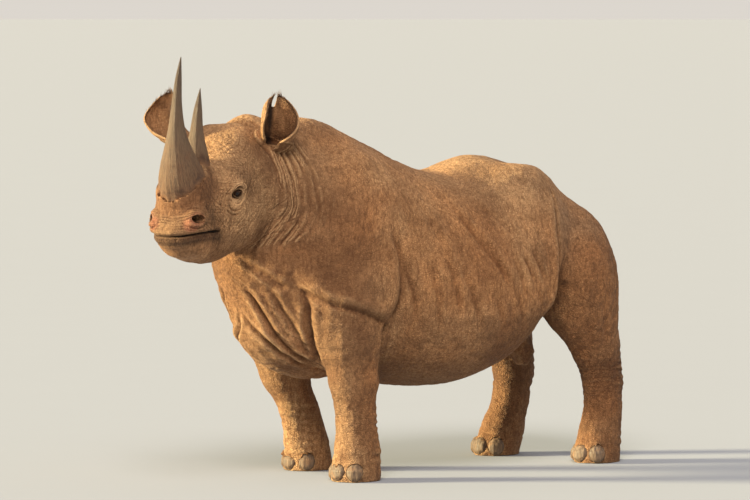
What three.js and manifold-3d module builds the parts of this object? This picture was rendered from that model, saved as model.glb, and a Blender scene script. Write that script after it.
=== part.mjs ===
// A black rhinoceros, life size, standing square with its head up and turned to its left.
// Millimetres. +Z is up, +X forward along the trunk and +Y the animal's left. It stands on z = 0.
//
// The flesh is one smooth field: lofts and rounded bones that blend into each other. It is meshed
// region by region and parted by thin plane cuts into head, neck, torso, tail and legs. Horns,
// ears, eyes and toenails are solids of their own, each set in a recess GAP wider than itself.
import * as THREE from "three";
import { mergeVertices } from "three/addons/utils/BufferGeometryUtils.js";
import Module from "manifold-3d";

const wasm = await Module();
wasm.setup();

// ---------------------------------------------------------------- driving dimensions
const GAP = 0.3; // between touching nodes
const WITHERS = 1560; // height of the shoulder hump
const SADDLE = 1335; // lowest point of the back
const CROUP = 1415; // height of the rump
const CHEST_FLOOR = 450; // underside of the brisket
const BELLY_FLOOR = 376; // underside of the belly
const BARREL_HALF = 490; // half the greatest width of the belly
const HEAD_YAW = 28; // degrees the head is turned to the left
const HEAD_PITCH = 23; // degrees the nose points below level
const HEAD_AT = [850, 80, 1385]; // middle of the back of the skull
const FRONT_HORN = 610; // lengths of the horns along their curves, with their roots
const REAR_HORN = 410;
const EYE_R = 20;

const rad = THREE.MathUtils.degToRad;
const clamp = THREE.MathUtils.clamp;
const V = (x, y, z) => new THREE.Vector3(x, y, z);
const SIDES = [
  ["left", 1],
  ["right", -1],
];

// ---------------------------------------------------------------- fields
// A field is below zero inside the flesh and grows by about 1 a millimetre outside it.

// A smooth curve through [[place, value], ...], held level past its ends.
function profile(points) {
  const places = points.map((p) => p[0]);
  const curve = new THREE.CubicInterpolant(places, points.map((p) => p[1]), 1, [0]);
  return (x) => curve.evaluate(clamp(x, places[0], places.at(-1)))[0];
}

// Two fields joined with a fillet about k wide.
function blend(a, b, k) {
  const h = Math.max(k - Math.abs(a - b), 0) / k;
  return Math.min(a, b) - (h * h * k) / 4;
}

// A body along x: its top, bottom and half width are curves, and widest says how far up it is widest.
function loft({ top, bottom, half, widest, roundness }) {
  const [t, b, w] = [profile(top), profile(bottom), profile(half)];
  const x0 = Math.max(top[0][0], bottom[0][0], half[0][0]);
  const x1 = Math.min(top.at(-1)[0], bottom.at(-1)[0], half.at(-1)[0]);
  return (p) => {
    const x = clamp(p.x, x0, x1);
    const [high, low, wide] = [t(x), b(x), w(x)];
    const middle = low + (high - low) * widest;
    const reach = p.z > middle ? high - middle : middle - low;
    const u = Math.abs(p.z - middle) / reach;
    const v = Math.abs(p.y) / wide;
    const r = (u ** roundness + v ** roundness) ** (1 / roundness);
    const side = (r - 1) * Math.min(wide, reach) * clamp(r, 0.5, 1);
    const past = Math.abs(p.x - x);
    return past > 0 ? Math.hypot(past, Math.max(side, 0)) + Math.min(side, 0) * 0.2 : side;
  };
}

// A rounded bone from a to b, of radius ra and rb, squeezed across y to flat times its width.
function bone(a, b, ra, rb, flat = 1) {
  const [start, end] = [V(...a), V(...b)];
  const along = end.clone().sub(start);
  const length2 = along.lengthSq();
  const q = V(0, 0, 0);
  return (p) => {
    q.subVectors(p, start);
    const t = clamp(q.dot(along) / length2, 0, 1);
    q.addScaledVector(along, -t);
    return Math.hypot(q.x, q.y / flat, q.z) - (ra + (rb - ra) * t);
  };
}

// A lump with three half axes, turned by degrees about x, y and z.
function lump(at, half, turn = [0, 0, 0]) {
  const inverse = new THREE.Matrix4()
    .makeRotationFromEuler(new THREE.Euler(...turn.map(rad)))
    .setPosition(...at)
    .invert();
  const q = V(0, 0, 0);
  return (p) => {
    q.copy(p).applyMatrix4(inverse);
    const k0 = Math.hypot(q.x / half[0], q.y / half[1], q.z / half[2]);
    const k1 = Math.hypot(q.x / half[0] ** 2, q.y / half[1] ** 2, q.z / half[2] ** 2);
    return k1 > 0 ? (k0 * (k0 - 1)) / k1 : -Math.min(...half);
  };
}

// The pieces [field, fillet] joined one after the other.
function flesh(pieces) {
  const [[first], ...rest] = pieces;
  return (p) => rest.reduce((d, [field, k]) => blend(d, field(p), k), first(p));
}

// ---------------------------------------------------------------- trunk
const barrel = loft({
  top: [[-960, 1150], [-820, CROUP - 110], [-700, CROUP - 80], [-545, CROUP - 36], [-300, SADDLE - 5],
    [-80, SADDLE + 35],
    [150, WITHERS - 85], [330, WITHERS - 40], [520, WITHERS - 80], [700, 1380], [840, 1200]],
  bottom: [[-960, 1000], [-860, 930], [-740, 722], [-610, 504], [-400, 398], [-120, BELLY_FLOOR],
    [200, CHEST_FLOOR - 10], [420, CHEST_FLOOR + 5], [600, 568], [740, 742], [840, 912]],
  half: [[-960, 150], [-860, 310], [-740, 425], [-600, 470], [-300, BARREL_HALF], [0, 465], [250, 400],
    [480, 340], [660, 250], [840, 90]],
  widest: 0.4,
  roundness: 2.15,
});

const trunkPieces = [
  [barrel, 0],
  [lump([-575, 0, 1200], [265, 160, 162]), 100], // croup
  [lump([-845, 0, 1005], [268, 262, 232], [0, -18, 0]), 100], // pelvis
  [lump([-1000, 0, 985], [135, 170, 160]), 80], // tail head
  [bone([590, 0, 930], [515, 0, 620], 155, 118), 110], // point of the chest
  [bone([600, 0, 645], [390, 0, 540], 110, 92), 80], // brisket
  [bone([-740, 0, 660], [-852, 0, 485], 86, 58), 80], // sheath
  ...SIDES.flatMap(([, s]) => [
    [lump([-640, s * 250, 1240], [120, 90, 110]), 110], // hip bone
    [bone([-740, s * 160, 1230], [-1000, s * 150, 1050], 95, 95), 90], // rump
    [lump([-955, s * 232, 860], [205, 180, 295], [0, 6, 0]), 70], // thigh
    [lump([370, s * 250, 1080], [200, 145, 340], [0, -12, 0]), 110], // shoulder blade
    [lump([440, s * 235, 850], [145, 140, 190], [0, 20, 0]), 70], // point of the shoulder
    [lump([290, s * 310, 840], [165, 105, 170]), 60], // elbow
  ]),
];

// ---------------------------------------------------------------- legs
// Each leg's joints from the top down: [x, y, z, radius], with y on the left side.
const FORE = [[400, 300, 740, 160], [375, 298, 640, 138], [335, 280, 440, 106], [305, 262, 250, 86],
  [300, 262, 120, 98], [306, 262, 20, 114]];
const HIND = [[-930, 288, 830, 190], [-975, 292, 690, 148], [-1040, 288, 530, 110], [-1092, 280, 390, 92],
  [-1098, 275, 250, 82], [-1080, 275, 120, 94], [-1066, 275, 20, 110]];
const LEG_FLAT = 0.86; // a leg's width over its depth
// How far each foot is set forward.
const STRIDE = { foreleg_left: 0, foreleg_right: -140, hindleg_left: 0, hindleg_right: 140 };
const LEGS = [["fore", FORE], ["hind", HIND]].flatMap(([end, joints]) =>
  SIDES.map(([side, s]) => {
    const name = `${end}leg_${side}`;
    const set = (z) => STRIDE[name] * (1 - z / joints[0][2]) ** 1.3;
    return { name, end, s, joints: joints.map(([x, y, z, r]) => [x + set(z), s * y, z, r]) };
  }),
);

// Three toes a foot: how far round from the front in degrees, and half their width.
const TOES = [[-50, 44], [0, 52], [50, 44]];
const FOOT = { ahead: 66, aside: 52, high: 34, toe: 62 };
const toesOf = ({ joints }) => {
  const [x, y] = joints.at(-1);
  return TOES.map(([turn, half]) => {
    const [ahead, aside] = [Math.cos(rad(turn)), Math.sin(rad(turn))];
    return { turn, half, x, y, ahead, aside };
  });
};

function legPieces(leg) {
  const bones = leg.joints.slice(1).map((to, i) => {
    const from = leg.joints[i];
    return [bone(from.slice(0, 3), to.slice(0, 3), from[3], to[3], LEG_FLAT), i === 0 ? 60 : 50];
  });
  const toes = toesOf(leg).map(({ turn, half, x, y, ahead, aside }) => {
    const at = [x + FOOT.ahead * ahead, y + FOOT.aside * aside, FOOT.high];
    return [lump(at, [FOOT.toe, half, FOOT.toe], [0, 0, turn]), 22];
  });
  return [...bones, ...toes];
}

// ---------------------------------------------------------------- neck and head
const headPose = new THREE.Matrix4()
  .makeRotationFromEuler(new THREE.Euler(0, rad(HEAD_PITCH), rad(HEAD_YAW), "ZYX"))
  .setPosition(...HEAD_AT);
const toHead = headPose.clone().invert();
const inWorld = (x, y, z) => V(x, y, z).applyMatrix4(headPose).toArray();

const neckPieces = [
  [bone([430, 0, 1190], inWorld(-70, 0, -48), 290, 170, 0.96), 140],
  [bone([475, 0, 1050], inWorld(-30, 0, -100), 245, 160, 0.95), 120], // throat
  [bone([400, 170, 1120], inWorld(-60, 50, -60), 215, 140), 120], // folds inside the turn of the neck
  [bone([440, 0, 1395], inWorld(-160, 0, -14), 155, 125), 120], // crest
];

// The head in its own frame: x from the back of the skull to the lips, z towards the forehead.
const SKULL_HALF = [[-80, 124], [40, 152], [140, 162], [240, 158], [330, 138], [420, 126], [500, 124],
  [560, 115], [610, 89], [645, 56]];
const skull = loft({
  top: [[-80, 128], [20, 146], [110, 140], [195, 120], [270, 104], [350, 110], [450, 112], [530, 84],
    [600, 36], [645, -20]],
  bottom: [[-80, -180], [60, -262], [160, -298], [250, -304], [340, -296], [430, -270], [510, -222],
    [570, -172], [620, -124], [645, -84]],
  half: SKULL_HALF,
  widest: 0.54,
  roundness: 2.5,
});
const headPieces = [
  [skull, 0],
  [lump([225, 0, 25], [130, 166, 70]), 60], // cheek bones
  [lump([455, 0, 96], [120, 100, 52]), 50], // boss of the front horn
  [lump([330, 0, 85], [75, 75, 50]), 50], // boss of the rear horn
  [lump([608, 0, -42], [58, 66, 46], [0, 30, 0]), 40], // pointed upper lip
  [lump([552, 0, -124], [62, 68, 44]), 40], // chin
  ...SIDES.flatMap(([, s]) => [
    [lump([170, s * 92, -176], [132, 70, 116]), 50], // jaw muscle
    [lump([548, s * 82, -2], [60, 44, 48]), 34], // nostril mound
    [lump([264, s * 128, 26], [64, 38, 30]), 34], // brow
  ]),
];
const headField = flesh(headPieces);

const bodyField = flesh([...trunkPieces, ...LEGS.flatMap(legPieces), ...neckPieces]);
const inHead = V(0, 0, 0);
const wholeField = (p) => blend(bodyField(p), headField(inHead.copy(p).applyMatrix4(toHead)), 70);

// ---------------------------------------------------------------- meshing
// Places from low to high, their spacing growing evenly from first to last.
function steps(low, high, first, last = first) {
  const count = Math.round((2 * (high - low)) / (first + last));
  const at = (n) => n * first + ((last - first) * n * (n - 1)) / (2 * Math.max(count - 1, 1));
  const stretch = (high - low) / at(count);
  return Array.from({ length: count + 1 }, (_, n) => low + at(n) * stretch);
}

// The zero surface of a field on a grid of places, one vertex a cell, drawn onto the surface.
function skinOf(field, xs, ys, zs) {
  const [nx, ny, nz] = [xs.length, ys.length, zs.length];
  const reach = Math.min(...[xs, ys, zs].map((places) => places[1] - places[0]), ys[1] - ys[0]) / 2;
  const at = (i, j, k) => V(xs[i], ys[j], zs[k]);
  const key = (i, j, k) => (k * ny + j) * nx + i;
  const value = new Float32Array(nx * ny * nz);
  for (let k = 0; k < nz; k++)
    for (let j = 0; j < ny; j++)
      for (let i = 0; i < nx; i++) {
        const rim = i === 0 || j === 0 || k === 0 || i === nx - 1 || j === ny - 1 || k === nz - 1;
        const d = field(at(i, j, k));
        value[key(i, j, k)] = rim ? Math.max(d, reach) : d;
      }

  const positions = [];
  const vertexOf = new Map();
  const CORNERS = [0, 1, 2, 3, 4, 5, 6, 7].map((c) => [c & 1, (c >> 1) & 1, c >> 2]);
  const EDGES = [1, 2, 4].flatMap((bit) => CORNERS.flatMap((_, c) => (c & bit ? [] : [[c, c | bit]])));
  for (let k = 0; k < nz - 1; k++)
    for (let j = 0; j < ny - 1; j++)
      for (let i = 0; i < nx - 1; i++) {
        const corner = CORNERS.map(([a, b, c]) => value[key(i + a, j + b, k + c)]);
        const middle = V(0, 0, 0);
        let crossings = 0;
        for (const [a, b] of EDGES) {
          if (corner[a] < 0 === corner[b] < 0) continue;
          const t = corner[a] / (corner[a] - corner[b]);
          const [from, to] = [CORNERS[a], CORNERS[b]].map(([u, v, w]) => at(i + u, j + v, k + w));
          middle.add(from.lerp(to, t));
          crossings++;
        }
        if (!crossings) continue;
        middle.divideScalar(crossings);
        vertexOf.set(key(i, j, k), positions.length / 3);
        positions.push(...onto(field, middle, reach).toArray());
      }

  const index = [];
  const point = (n) => V(...positions.slice(3 * n, 3 * n + 3));
  function face(cells, turned) {
    const [a, b, c, d] = (turned ? cells.reverse() : cells).map((n) => vertexOf.get(n));
    const short = point(a).distanceTo(point(c)) < point(b).distanceTo(point(d));
    index.push(...(short ? [a, b, c, a, c, d] : [a, b, d, b, c, d]));
  }
  for (let k = 0; k < nz - 1; k++)
    for (let j = 0; j < ny - 1; j++)
      for (let i = 0; i < nx - 1; i++) {
        const here = value[key(i, j, k)] < 0;
        if (here !== value[key(i + 1, j, k)] < 0)
          face([key(i, j - 1, k - 1), key(i, j, k - 1), key(i, j, k), key(i, j - 1, k)], !here);
        if (here !== value[key(i, j + 1, k)] < 0)
          face([key(i - 1, j, k - 1), key(i - 1, j, k), key(i, j, k), key(i, j, k - 1)], !here);
        if (here !== value[key(i, j, k + 1)] < 0)
          face([key(i - 1, j - 1, k), key(i, j - 1, k), key(i, j, k), key(i - 1, j, k)], !here);
      }
  return new THREE.BufferGeometry()
    .setAttribute("position", new THREE.Float32BufferAttribute(positions, 3))
    .setIndex(index);
}

// A point moved along the field's slope to its zero surface, but no further than reach.
function onto(field, p, reach) {
  const STEP = 2;
  const start = p.clone();
  for (let n = 0; n < 3; n++) {
    const d = field(p);
    const slope = V(
      field(V(p.x + STEP, p.y, p.z)) - d,
      field(V(p.x, p.y + STEP, p.z)) - d,
      field(V(p.x, p.y, p.z + STEP)) - d,
    ).divideScalar(STEP);
    p.addScaledVector(slope, -d / Math.max(slope.lengthSq(), 0.2));
  }
  return p.sub(start).clampLength(0, reach).add(start);
}

// ---------------------------------------------------------------- solids
function solid(geometry, matrix = new THREE.Matrix4()) {
  const bare = geometry.clone().applyMatrix4(matrix);
  bare.deleteAttribute("normal");
  bare.deleteAttribute("uv");
  const merged = mergeVertices(bare, 1e-3);
  const vertProperties = merged.attributes.position.array;
  const triVerts = new Uint32Array(merged.index.array);
  return new wasm.Manifold(new wasm.Mesh({ numProp: 3, vertProperties, triVerts }));
}

function largest(made) {
  return made.decompose().reduce((a, b) => (a.volume() > b.volume() ? a : b));
}

function geometryOf(made) {
  const { numProp, numVert, vertProperties, triVerts } = made.getMesh();
  const position = new Float32Array(numVert * 3);
  for (let i = 0; i < numVert; i++) {
    const corner = vertProperties.subarray(i * numProp, i * numProp + 3);
    position.set(corner, i * 3);
  }
  const geometry = new THREE.BufferGeometry()
    .setAttribute("position", new THREE.BufferAttribute(position, 3))
    .setIndex(new THREE.BufferAttribute(new Uint32Array(triVerts), 1));
  geometry.computeVertexNormals();
  return geometry;
}

// Everything on the side of a plane that its normal points to.
function beyond(at, normal, lift = 0) {
  const SIZE = 6000;
  const n = V(...normal).normalize();
  const turn = new THREE.Quaternion().setFromUnitVectors(V(0, 0, 1), n);
  const middle = V(...at).addScaledVector(n, SIZE / 2 + lift);
  const matrix = new THREE.Matrix4().compose(middle, turn, V(1, 1, 1));
  return solid(new THREE.BoxGeometry(SIZE, SIZE, SIZE), matrix);
}

// A block with a sloping top, from the floor up, that holds one leg. grow widens it all round.
const LEG_BLOCK = {
  fore: { tall: 610, deep: 420, slope: -8, ahead: 20 },
  hind: { tall: 640, deep: 560, slope: 12, ahead: 40 },
  inner: 130,
  outer: 560,
};
function legBlock({ s, joints, end }, grow) {
  const { tall, deep, slope, ahead } = LEG_BLOCK[end];
  const { inner, outer } = LEG_BLOCK;
  const shape = new THREE.BoxGeometry(deep + 2 * grow, outer - inner + 2 * grow, 2 * (tall + grow));
  const matrix = new THREE.Matrix4()
    .makeRotationY(rad(slope))
    .setPosition(joints[3][0] + ahead, (s * (inner + outer)) / 2, 0);
  return solid(shape, matrix);
}

// A tube of rings along a curve: section(t) gives a ring's half axes along and across its side axis.
// grow widens it all round and lengthens both ends.
function tube(curve, rings, sides, section, side, grow = 0) {
  const positions = [];
  const index = [];
  for (let i = 0; i <= rings; i++) {
    const t = i / rings;
    const forward = curve.getTangent(t);
    const past = i === 0 ? -grow : i === rings ? grow : 0;
    const centre = curve.getPoint(t).addScaledVector(forward, past);
    const up = forward.clone().cross(side).normalize();
    const across = up.clone().cross(forward).normalize();
    const [a, b] = section(t).map((r) => r + grow);
    for (let j = 0; j < sides; j++) {
      const angle = (2 * Math.PI * j) / sides;
      const rim = centre.clone().addScaledVector(across, a * Math.cos(angle));
      positions.push(...rim.addScaledVector(up, b * Math.sin(angle)).toArray());
    }
  }
  for (let i = 0; i < rings; i++)
    for (let j = 0; j < sides; j++) {
      const [a, b] = [i * sides + j, i * sides + ((j + 1) % sides)];
      index.push(a, b, a + sides, b, b + sides, a + sides);
    }
  const last = rings * sides;
  for (let j = 1; j < sides - 1; j++) index.push(0, j + 1, j, last, last + j, last + j + 1);
  return new THREE.BufferGeometry()
    .setAttribute("position", new THREE.Float32BufferAttribute(positions, 3))
    .setIndex(index);
}

// ---------------------------------------------------------------- horns, ears, eyes, nails, tail
// A horn leaves its root by so many degrees of lean and ends at bend degrees. Its half widths across and
// along the head are its base times its flare, a curve from root to tip.
const HORNS = {
  horn_front: {
    root: [452, 0, 78],
    lean: -4,
    bend: 40,
    length: FRONT_HORN,
    base: [87, 118],
    flare: [[0, 1.04], [0.14, 1], [0.25, 0.83], [0.36, 0.61], [0.5, 0.39], [0.66, 0.25], [0.88, 0.13],
      [1, 0.03]],
  },
  horn_rear: {
    root: [320, 0, 59],
    lean: 12,
    bend: 39,
    length: REAR_HORN,
    base: [62, 68],
    flare: [[0, 1], [0.15, 0.92], [0.32, 0.79], [0.55, 0.47], [0.82, 0.25], [1, 0.04]],
  },
};
function horn(name, grow) {
  const { root, lean, bend, length, base, flare } = HORNS[name];
  const up = (angle) => V(-Math.sin(rad(angle)), 0, Math.cos(rad(angle)));
  const start = V(...root);
  const knee = start.clone().addScaledVector(up(lean), length * 0.45);
  const tip = knee.clone().addScaledVector(up(bend), length * 0.55);
  const curve = new THREE.QuadraticBezierCurve3(start, knee, tip);
  const width = profile(flare);
  return solid(tube(curve, 12, 14, (t) => base.map((r) => r * width(t)), V(0, 1, 0), grow), headPose);
}

// An ear: a solid stalk that swings out of the head and opens into a wide cup. Its axis is z, and its
// cup opens towards x. A point of it is given by its height t, its distance r from the axis and an angle.
const EAR = {
  length: 240,
  wall: 9,
  radius: profile([[-0.1, 33], [0, 36], [0.12, 46], [0.25, 54], [0.37, 62], [0.5, 71], [0.6, 73], [0.7, 69],
    [0.8, 58], [0.9, 42], [1, 24]]),
  arc: profile([[0, 172], [0.12, 160], [0.3, 128], [0.65, 108], [1, 84]]), // degrees of wall each side
  twist: profile([[0, 50], [0.15, 48], [0.35, 26], [0.6, 6], [1, 0]]), // degrees its opening turns
  lean: profile([[-0.1, -0.5], [0, 0], [0.5, 6], [1, -10]]),
  // How much of the stalk's reach is still to come.
  swing: profile([[-0.1, 1.27], [0, 1], [0.12, 0.67], [0.3, 0.22], [0.5, 0], [1, 0]]),
  levels: [0, 0.05, 0.1, 0.17, 0.25, 0.34, 0.46, 0.6, 0.75, 0.88, 1], // of its rings
};
function earPoint([back, aside], t, r, angle) {
  const x = -r * Math.cos(angle) + EAR.radius(t) * 0.5 + EAR.lean(t) + back * EAR.swing(t);
  return [x, r * Math.sin(angle) + aside * EAR.swing(t), EAR.length * t];
}

// Closed rings of points skinned into a solid, one ring above the other.
function stack(rings) {
  const ring = rings[0].length;
  const index = [];
  for (let i = 0; i < rings.length - 1; i++)
    for (let j = 0; j < ring; j++) {
      const [a, b] = [i * ring + j, i * ring + ((j + 1) % ring)];
      index.push(a, a + ring, b, b, a + ring, b + ring);
    }
  const top = (rings.length - 1) * ring;
  for (let j = 0; j < ring / 2 - 1; j++) {
    const [a, b, c, d] = [j, j + 1, ring - 1 - j, ring - 2 - j];
    index.push(a, b, c, b, d, c, top + a, top + c, top + b, top + b, top + c, top + d);
  }
  return solid(
    new THREE.BufferGeometry()
      .setAttribute("position", new THREE.Float32BufferAttribute(rings.flat(2), 3))
      .setIndex(index),
  );
}

// The cup's wall is a stack of letters C, and its stalk a stack of discs. grow widens both all round.
function ear({ stalk: reach, twist }, grow, discs) {
  const [ARC, SIDES] = [7, 12];
  const past = grow / EAR.length;
  const levels = [-past, ...EAR.levels.slice(1, -1), 1 + past];
  const wall = levels.map((t) => {
    const outer = EAR.radius(t) + grow;
    const inner = outer - EAR.wall - 2 * grow;
    const arc = rad(EAR.arc(t)) + grow / outer;
    const turn = twist * rad(EAR.twist(t));
    const angles = Array.from({ length: ARC + 1 }, (_, j) => turn - arc + (2 * arc * j) / ARC);
    return [
      ...angles.map((angle) => earPoint(reach, t, outer, angle)),
      ...angles.reverse().map((angle) => earPoint(reach, t, inner, angle)),
    ];
  });
  const stalk = levels.slice(0, discs).map((t) => {
    const angles = Array.from({ length: SIDES }, (_, j) => (2 * Math.PI * j) / SIDES);
    return angles.map((angle) => earPoint(reach, t, EAR.radius(t) - EAR.wall / 2 + grow, angle));
  });
  return stack(wall).add(stack(stalk));
}

// In the head's frame: the foot of an ear's cup, where its tip points and which way the cup opens. In the
// ear's own: how far its stalk starts behind and beside it, and which way the cup's opening twists.
const EARS = {
  left: {
    foot: [-50, 184, 35], tip: [-100, 22, 200], open: [0.52, 0.79, 0.33], stalk: [-80, 33], twist: 1,
  },
  right: {
    foot: [48, -240, 88], tip: [-72, -14, 205], open: [0.86, -0.36, 0.3], stalk: [-65, 115], twist: -1,
  },
};
function earPose({ foot, tip, open }) {
  const up = V(...tip).normalize();
  const front = V(...open).addScaledVector(up, -up.dot(V(...open))).normalize();
  const basis = new THREE.Matrix4().makeBasis(front, up.clone().cross(front), up);
  return headPose.clone().multiply(basis.setPosition(...foot));
}

// The torn notch in the rim of the left ear: a wedge through the back of the cup, its edge down.
const NOTCH = { wide: 30, deep: 46, at: -4 };
const notch = new THREE.CylinderGeometry(1, 1, 400, 3)
  .rotateY(rad(180))
  .scale(NOTCH.wide / 2, 1, NOTCH.deep)
  .rotateZ(rad(90))
  .translate(0, NOTCH.at, EAR.length - 12);

// An eye's opening between its lids: a lens with pointed corners, cut through the mound of the lids.
const EYE_AT = [268, 143, -8];
const EYE_FORWARD = 32; // degrees it looks ahead of straight sideways
const LIDS = { mound: [42, 25, 31], arc: 30, raise: 17, deep: 90 };
function lens() {
  const cap = (side) => solid(
    new THREE.CylinderGeometry(LIDS.arc, LIDS.arc, LIDS.deep, 24),
    new THREE.Matrix4().makeTranslation(0, 0, side * LIDS.raise),
  );
  return cap(1).intersect(cap(-1));
}

// A nostril: a slanting egg pressed into the side of the nose.
const NOSTRIL = { at: [568, 108, 8], half: [25, 42, 17], slope: 18, turn: 38 };

// The mouth: a thin slit round the muzzle that falls towards its corners.
const MOUTH = { front: [640, 0, -36], back: 320, slope: 20, deep: 20, open: 6 };
function mouth() {
  const [front] = MOUTH.front;
  const slope = new THREE.Matrix4().makeRotationY(rad(-MOUTH.slope)).setPosition(...MOUTH.front);
  const slit = solid(new THREE.BoxGeometry(440, 500, MOUTH.open), slope);
  const half = profile(SKULL_HALF);
  const places = steps(MOUTH.back, front, 60, 20);
  const side = (s) => places.map((x) => new THREE.Vector2(x, s * (half(x) - MOUTH.deep)));
  const outline = new THREE.Shape([...side(-1), ...side(1).reverse()]);
  const core = new THREE.ExtrudeGeometry(outline, { depth: 400, bevelEnabled: false }).translate(0, 0, -300);
  return slit.subtract(solid(core));
}

// A toenail: a flattened egg that leans back over its toe, its lower edge just off the floor.
const NAIL = { out: 104, sideways: 0.92, at: 44, thick: 24, wide: 0.86, tall: 44, lean: 16, lift: 6 };
function nail({ turn, half, x, y, ahead, aside }, grow) {
  const shape = new THREE.SphereGeometry(1, 8, 5);
  shape.scale(NAIL.thick + grow, half * NAIL.wide + grow, NAIL.tall + grow);
  const matrix = new THREE.Matrix4()
    .makeRotationFromEuler(new THREE.Euler(0, rad(-NAIL.lean), rad(turn), "ZYX"))
    .setPosition(x + NAIL.out * ahead, y + NAIL.out * NAIL.sideways * aside, NAIL.at);
  return solid(shape, matrix).intersect(beyond([0, 0, NAIL.lift], [0, 0, 1], -grow));
}

// The tail hangs from the tail head, with bristles down both edges of its lower end.
const TAIL = [[-1075, 0, 1110], [-1150, 0, 1085], [-1202, 0, 990], [-1214, 0, 860], [-1206, 0, 720],
  [-1196, 0, 590]];
const tailCurve = new THREE.CatmullRomCurve3(TAIL.map((p) => V(...p)));
function tail(grow) {
  const thick = profile([[0, 50], [0.2, 40], [0.5, 24], [0.85, 17], [1, 8]]);
  return solid(tube(tailCurve, 11, 8, (t) => [thick(t) * 1.25, thick(t) * 0.9], V(0, 1, 0), grow));
}
const BRISTLES = { edge: 5, first: 0.74, last: 0.96, length: 120, root: 8, tip: 1.6, spread: 30 };
function bristles() {
  const { edge, first, last, root: thick, tip: thin, spread } = BRISTLES;
  const section = (u) => Array(2).fill(thick + (thin - thick) * u);
  const made = [];
  for (const [, s] of SIDES)
    for (let n = 0; n < edge; n++) {
      const start = tailCurve.getPoint(first + ((last - first) * n) / (edge - 1)).add(V(0, s * 6, 0));
      const length = BRISTLES.length * (1 + 0.25 * Math.sin(2.1 * n + s));
      const back = -20 * Math.cos(1.7 * n);
      const bend = start.clone().add(V(back * 0.7, s * spread * 0.87, -length * 0.45));
      const end = start.clone().add(V(back, s * spread, -length));
      const curve = new THREE.QuadraticBezierCurve3(start, bend, end);
      made.push(solid(tube(curve, 2, 4, section, V(1, 0, 0))));
    }
  return made;
}

// ---------------------------------------------------------------- the nodes
const root = new THREE.Group();
const COLOURS = {
  hide: [0x8f6a4c, 0.9],
  horn: [0x5d5650, 0.55],
  eye: [0x1c120c, 0.1],
  nail: [0x6b5f52, 0.7],
};
function add(name, finish, made) {
  const [color, roughness] = COLOURS[finish];
  const material = new THREE.MeshStandardMaterial({ color, roughness, metalness: 0 });
  const mesh = new THREE.Mesh(geometryOf(largest(made)), material);
  mesh.name = name;
  root.add(mesh);
}

// The head ends behind the poll and under the jaw, and the neck at a slanting plane before the shoulders.
const POLL_CUT = [inWorld(-120, 0, 0), V(1, -0.3, 0.1).transformDirection(headPose).toArray()];
const THROAT_CUT = [inWorld(100, 0, -350), V(0.35, 0, 1).transformDirection(headPose).toArray()];
const NECK_CUT = [[610, 0, 1100], [0.86, 0.1, 0.5]];
const headRegion = (lift) => beyond(...POLL_CUT, lift).intersect(beyond(...THROAT_CUT, lift));
const floor = beyond([0, 0, 0], [0, 0, 1]);

// Head and neck. The head is meshed in its own frame.
const headSkin = skinOf(
  (p) => wholeField(p.clone().applyMatrix4(headPose)),
  steps(-260, 720, 46, 25),
  steps(-340, 440, 31),
  steps(-480, 290, 31),
);
let head = solid(headSkin, headPose).intersect(headRegion(GAP / 2));
const neckSkin = skinOf(wholeField, steps(280, 1250, 54), steps(-480, 540, 54), steps(640, 1750, 54));
let neck = solid(neckSkin).intersect(beyond(...NECK_CUT, GAP / 2)).subtract(headRegion(-GAP / 2));
for (const name of Object.keys(HORNS)) head = head.subtract(horn(name, GAP));
add("horn_front", "horn", horn("horn_front", 0));
add("horn_rear", "horn", horn("horn_rear", 0).subtract(horn("horn_front", GAP)));
head = head.subtract(mouth().transform(headPose.toArray()));
for (const [side, s] of SIDES) {
  const pose = earPose(EARS[side]);
  const cup = ear(EARS[side], 0, 4).transform(pose.toArray());
  const recess = ear(EARS[side], GAP, 6).transform(pose.toArray());
  head = head.subtract(recess);
  neck = neck.subtract(recess);
  add(`ear_${side}`, "hide", side === "left" ? cup.subtract(solid(notch, pose)) : cup);

  const eyeTurn = new THREE.Matrix4().makeRotationZ(rad(-s * EYE_FORWARD));
  const eyePose = headPose.clone().multiply(eyeTurn.setPosition(EYE_AT[0], s * EYE_AT[1], EYE_AT[2]));
  const mound = new THREE.SphereGeometry(1, 16, 10).scale(...LIDS.mound);
  head = head.add(solid(mound, eyePose));
  const outwards = eyePose.clone().multiply(new THREE.Matrix4().makeTranslation(0, (s * LIDS.deep) / 2, 0));
  head = head.subtract(lens().transform(outwards.toArray()));
  head = head.subtract(solid(new THREE.SphereGeometry(EYE_R + GAP, 12, 7), eyePose));
  add(`eye_${side}`, "eye", solid(new THREE.SphereGeometry(EYE_R, 12, 7), eyePose));

  const nostril = new THREE.SphereGeometry(1, 12, 8).scale(...NOSTRIL.half);
  const [x, y, z] = NOSTRIL.at;
  const nostrilPose = new THREE.Matrix4()
    .makeRotationFromEuler(new THREE.Euler(0, rad(-NOSTRIL.slope), rad(-s * NOSTRIL.turn), "ZYX"))
    .setPosition(x, s * y, z);
  head = head.subtract(solid(nostril, headPose.clone().multiply(nostrilPose)));
}
add("head", "hide", head);
add("neck", "hide", neck);

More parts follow.
